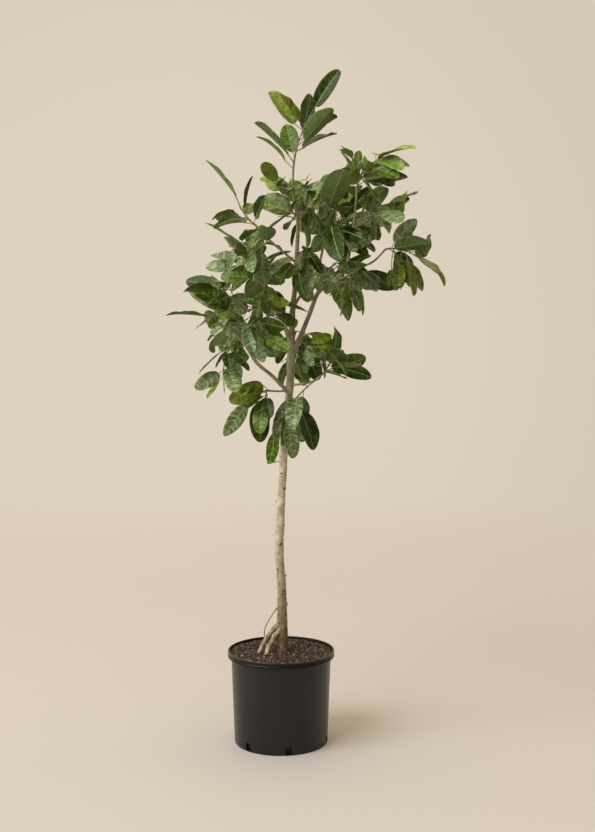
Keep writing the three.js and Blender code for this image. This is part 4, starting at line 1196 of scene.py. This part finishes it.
# Bark goes from brown at the foot through grey tan to a green tan at the top. Roots end pale.
BARK = (
    (0.0, (0.125, 0.088, 0.045)), (0.09, (0.20, 0.160, 0.092)), (0.26, (0.46, 0.412, 0.304)),
    (0.48, (0.56, 0.522, 0.425)), (0.60, (0.40, 0.365, 0.250)), (0.78, (0.27, 0.245, 0.145)),
    (1.0, (0.20, 0.205, 0.085)),
)
ROOT_BARK = ((0.0, (0.60, 0.53, 0.38)), (0.3, (0.33, 0.275, 0.17)), (1.0, (0.22, 0.175, 0.100)))
# The pale added to the rib: the midrib's own paleness. On the wall round a blade's edge the same look is a
# pale margin and a painted highlight.
RIB_GLOW = (0.205, 0.240, 0.095)


def leaf_looks(tint):
    """The blade, its side veins, its middle vein and its underside. The middle vein's look also goes on the
    wall round the blade's edge, as a pale margin and a painted highlight.
    """
    (dark, face, pale), underside, sheen, gloss = TINTS[tint]
    vein = tuple(0.8 * c + 0.2 * k for c, k in zip(face, pale))
    rib = tuple(0.4 * c + k for c, k in zip(pale, RIB_GLOW))
    # Streaks that run across the top from the dark to the pale: the pale streaks are painted sheen.
    top = ((0.385, dark), (0.5, face), (0.625, pale))
    return [
        plain_look(f"leaf_{tint}", top, 7, gloss, 0.4, 2.2, stretch=(1, 0.3, 1), sheen=sheen, leaf=True),
        plain_look(f"vein_{tint}", shades(vein, 0.2), 15, gloss, 0.2, 1.5, sheen=sheen),
        plain_look(f"rib_{tint}", shades(rib, 0.15), 20, (0.4, 0.55), 0.2, 1.5, sheen=0.4),
        plain_look(
            f"underside_{tint}", shades(underside, 0.35), 9, (0.55, 0.7), 0.4, 1.6,
            stretch=(1, 0.35, 1), sheen=0.15, leaf=True,
        ),
    ]


def finish_piece(piece):
    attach(piece, "root")


def build_pot():
    shell = Shell()
    add_turned(shell, pot_profile(), POT.sides, POT.wobble)
    pot = shell.piece("nursery_pot", [])
    cut_holes(pot)
    for name, sheen in (("charcoal_plastic", 0.42), ("charcoal_rim", 0.2)):
        pot.data.materials.append(plain_look(
            name, PLASTIC, 70, (0.25, 0.37), 0.12, 1.1, distance=0.0003, stretch=(1, 1, 0.35), sheen=sheen,
        ))
    rim = (POT.height - POT.rim_depth + 0.5) * MM, (POT.height - 3.2) * MM
    for face in pot.data.polygons:
        face.material_index = int(rim[0] < face.center.z < rim[1])
    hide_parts("pot")
    finish_piece(pot)


def build_mix():
    bed = Shell()
    add_bed(bed)
    piece = bed.piece("mix_bed", [plain_look("mix_soil", SOIL, 5, (0.8, 0.95), 1.0, 1.3, distance=0.0012)])
    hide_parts("potting_mix")
    finish_piece(piece)
    for seed, (name, (colour, *kind)) in enumerate(BITS.items(), 11):
        bits = Shell()
        add_bits(bits, seed, *kind)
        looks = [plain_look(f"mix_{name}", shades(colour, 0.4), 7, (0.7, 0.9), 0.8, 1.2)]
        finish_piece(bits.piece(name, looks))


def bark_look(name, heights, foot, top, share=1.0, spread=0.42, size=11):
    """Bark whose colour goes through the stops of a ramp from the foot's height to the top's."""
    look = plain_look(name, shades((0.5, 0.5, 0.5), spread), size, (0.6, 0.8), 0.8, 1.6, stretch=(1, 1, 0.55))
    tree, reach = look.node_tree, top - foot
    place = tree.nodes["Texture Coordinate"].outputs["Object"]
    grey = {"Vector": tree.nodes["Color Ramp"].outputs["Color"], "Scale": 2}
    mottle = add_node(tree, "VectorMath", "Vector", grey, operation="SCALE")
    height = add_node(tree, "SeparateXYZ", "Z", {"Vector": place})
    blotch = add_node(tree, "TexNoise", "Fac", {"Vector": place, "Scale": 28})
    rise = add_node(tree, "Math", "Value", {0: blotch, 1: 0.18 * reach, 2: height}, operation="MULTIPLY_ADD")
    climb = add_range(tree, rise, foot + 0.09 * reach, top + 0.09 * reach)
    colours = [(at, tuple(c * share for c in colour)) for at, colour in heights]
    inputs = {"Factor": 1, "A": add_ramp(tree, colours, climb), "B": mottle}
    blend = add_node(tree, "Mix", "Result", inputs, data_type="RGBA", blend_type="MULTIPLY")
    feed(tree.nodes["Principled BSDF"].inputs["Base Color"], blend)
    return look


def build_limbs(whole):
    """The bark of the trunk, with its roots and stubs, and of each bough."""
    looks = [
        bark_look(name, BARK, 0.24, 1.46, share)
        for name, share in (("bark", 1.0), ("bark_ring", 0.62), ("bark_knot", 0.12))
    ]
    looks.append(bark_look("bark_root", ROOT_BARK, 0.235, 0.315, spread=0.8, size=5))
    trunk = Shell()
    rows = whole["trunk"] + vector(0, 0, 0, STOUTER)
    add_limb(trunk, rows, 1.7, 44, 3, 0.85, knots=knot_places(rows), bands=TRUNK_RINGS)
    for k, root in enumerate(ROOTS):
        add_limb(trunk, smooth_rows(root), 1.4, 22, 20 + k, min(0.9, root[0][3] / 8), look=3)
    for stub in STUBS:
        add_limb(trunk, stub_rows(rows, *stub), 0.8, 10, 33, 0.12, look=2)
    pieces = {"trunk": trunk}
    for k, name in enumerate(list(LIMBS)[1:]):
        pieces[name] = Shell()
        base_radius = LIMBS[name][1][0][3]
        add_limb(pieces[name], whole[name], 1.8, 22, 40 + 3 * k, base_radius / 11, flare=FLARE)
    for name, shell in pieces.items():
        piece = shell.piece(f"bark_{name}", looks)
        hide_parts(name)
        finish_piece(piece)


def tint_of(leaf, dice):
    fresh, chance = dice.roll(), dice.roll()
    if leaf.youth > 0.45 + 0.5 * fresh:
        return "young"
    return next(tint for tint, limit in CHANCES if chance < limit)


def build_foliage(crown):
    """The leaves, a piece for each tint, and the twigs, petioles and buds that carry them."""
    blades, held = {tint: Shell() for tint in TINTS}, {tint: set() for tint in TINTS}
    twigs, petioles, buds = Shell(), Shell(), Shell()
    for k, (name, (grown, leaves)) in enumerate(crown.items()):
        dice, tints = Dice(1000 + k), Dice(MASSES[name].tints)
        for j, rows in enumerate(grown):
            start = grown_back(rows, 1.5 if j else 5, 1.5 if MASSES[name].at < 1 or j else 1.0)
            add_twig(twigs, start, leaves, 300 + 7 * k + j)
            add_bud(buds, rows, dice)
        for leaf in leaves:
            tint = tint_of(leaf, tints)
            add_blade(blades[tint], leaf, dice)
            add_petiole(petioles, leaf)
            held[tint].add(f"foliage_{name}")
    add_sprout(blades["olive"], petioles)
    for tint, shell in blades.items():
        piece = shell.piece(f"leaves_{tint}", leaf_looks(tint))
        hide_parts(*sorted(held[tint]))
        finish_piece(piece)
    every = [f"foliage_{name}" for name in MASSES]
    looks = [
        plain_look("twig_skin", shades((0.262, 0.250, 0.118), 0.45), 40, (0.5, 0.7), 0.5, 1.5),
        plain_look("twig_scar", shades((0.085, 0.070, 0.035), 0.25), 25, (0.6, 0.8), 0.5, 1.5),
    ]
    piece = twigs.piece("twigs", looks)
    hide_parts(*every)
    finish_piece(piece)
    stalk = plain_look("petiole_skin", shades((0.215, 0.235, 0.080), 0.3), 24, (0.42, 0.58), 0.3, 1.5)
    finish_piece(petioles.piece("petioles", [stalk]))
    sheath = plain_look("bud_skin", shades((0.22, 0.23, 0.075), 0.2), 10, (0.4, 0.5), 0.3, 1.5)
    finish_piece(buds.piece("buds", [sheath]))


# The floor, the air, the lights and the camera. These sizes are metres.
FLOOR = Values(near=120 * MM, far=9, rings=40, sides=96, fade=(0.8, 5.0), colour=(0.515, 0.525, 0.528))
# The camera's place, how far it looks down, and its focal length and picture width in pixels.
CAMERA = Values(place=(0.043, -3.100, 1.070), down=3.97, focal=1203, width=595, sensor=36)
# Lights: the place, the target, the size, the power and the colour.
LIGHTS = {
    "key": ((-6.9, -5.9, 7.6), (0.05, 0, 0.8), (8.5, 8.5), 1040, (0.955, 0.975, 1.0)),
    "sheen": ((-7.5, -2.8, 2.0), (0, 0, 0.3), (2.4, 4.5), 62, (1.0, 0.99, 0.94)),
}
# The air that lights the plant and the backdrop that is seen: the way in which it brightens, how far
# from and how near to that way it starts and ends, and the first and the last colour.
AIR = ((-0.46, 0.42, 0.78), -1.0, 1.0, (0.11, 0.078, 0.048), (1.16, 0.89, 0.62))
BACKDROP = ((-0.1, 0.995, 0), 0.93, 1.0, (0.672, 0.582, 0.473), (0.740, 0.643, 0.523))
SMOOTH = {"interpolation_type": "SMOOTHSTEP"}


def build_floor():
    """A painted floor that fades away in the distance."""
    disc = Shell()
    reach = np.geomspace(FLOOR.near / MM, FLOOR.far / MM, FLOOR.rings)[::-1, None]
    start = disc.add_rings(round_rings(reach, 0, FLOOR.sides))
    disc.add_faces(start + (FLOOR.rings - 1) * FLOOR.sides + np.arange(FLOOR.sides))
    look = plain_look("floor_paint", shades(FLOOR.colour, 0.012), 900, (0.75, 0.85), 0.02, 4)
    tree = look.node_tree
    place = tree.nodes["Texture Coordinate"].outputs["Object"]
    far = add_node(tree, "VectorMath", "Value", {0: place}, operation="LENGTH")
    fade = add_range(tree, far, *FLOOR.fade, **SMOOTH)
    clear = add_node(tree, "BsdfTransparent", "BSDF", {})
    painted = tree.nodes["Principled BSDF"].outputs["BSDF"]
    mixed = add_node(tree, "MixShader", "Shader", {"Fac": fade, 1: painted, 2: clear})
    feed(tree.nodes["Material Output"].inputs["Surface"], mixed)
    floor = disc.piece("floor", [look])


def build_air():
    """Warm air lights the plant, most of it from above and behind. The backdrop is seen on its own."""
    world = bpy.data.worlds.new("studio")
    bpy.context.scene.world = world
    world.use_nodes = True
    tree = world.node_tree
    place = add_node(tree, "TexCoord", "Generated", {})

    def graded(way, low, high, first, last):
        """A colour that goes from the first to the last as the view turns towards a way."""
        toward = add_node(tree, "VectorMath", "Value", {0: place, 1: way}, operation="DOT_PRODUCT")
        inputs = {"Factor": add_range(tree, toward, low, high, **SMOOTH), "A": (*first, 1), "B": (*last, 1)}
        return add_node(tree, "Mix", "Result", inputs, data_type="RGBA")

    light = tree.nodes["Background"]
    feed(light.inputs["Color"], graded(*AIR))
    seen = add_node(tree, "Background", "Background", {"Color": graded(*BACKDROP)})
    ray = add_node(tree, "LightPath", "Is Camera Ray", {})
    both = add_node(tree, "MixShader", "Shader", {"Fac": ray, 1: light.outputs["Background"], 2: seen})
    feed(tree.nodes["World Output"].inputs["Surface"], both)


def add_light(name, place, target, size, power, colour):
    data = bpy.data.lights.new(name, "AREA")
    data.shape, data.size, data.size_y = "RECTANGLE", *size
    data.energy, data.color = power, colour
    light = bpy.data.objects.new(name, data)
    bpy.context.collection.objects.link(light)
    light.location = place
    light.rotation_mode = "QUATERNION"
    light.rotation_quaternion = (Vector(target) - Vector(place)).to_track_quat("-Z", "Y")


def build_camera():
    data = bpy.data.cameras.new("camera")
    data.sensor_width = CAMERA.sensor
    data.sensor_fit = "HORIZONTAL"
    data.lens = CAMERA.sensor * CAMERA.focal / CAMERA.width
    camera = bpy.data.objects.new("camera", data)
    bpy.context.collection.objects.link(camera)
    camera.location = CAMERA.place
    camera.rotation_euler = ((90 - CAMERA.down) * DEGREE, 0, 0)
    bpy.context.scene.camera = camera


build_floor()
build_air()
build_camera()
for name, light in LIGHTS.items():
    add_light(name, *light)
bpy.context.scene.view_settings.view_transform = "Standard"
build_pot()
build_mix()
whole, limbs = grow_limbs()
build_limbs(whole)
build_foliage(grow_crown(limbs))
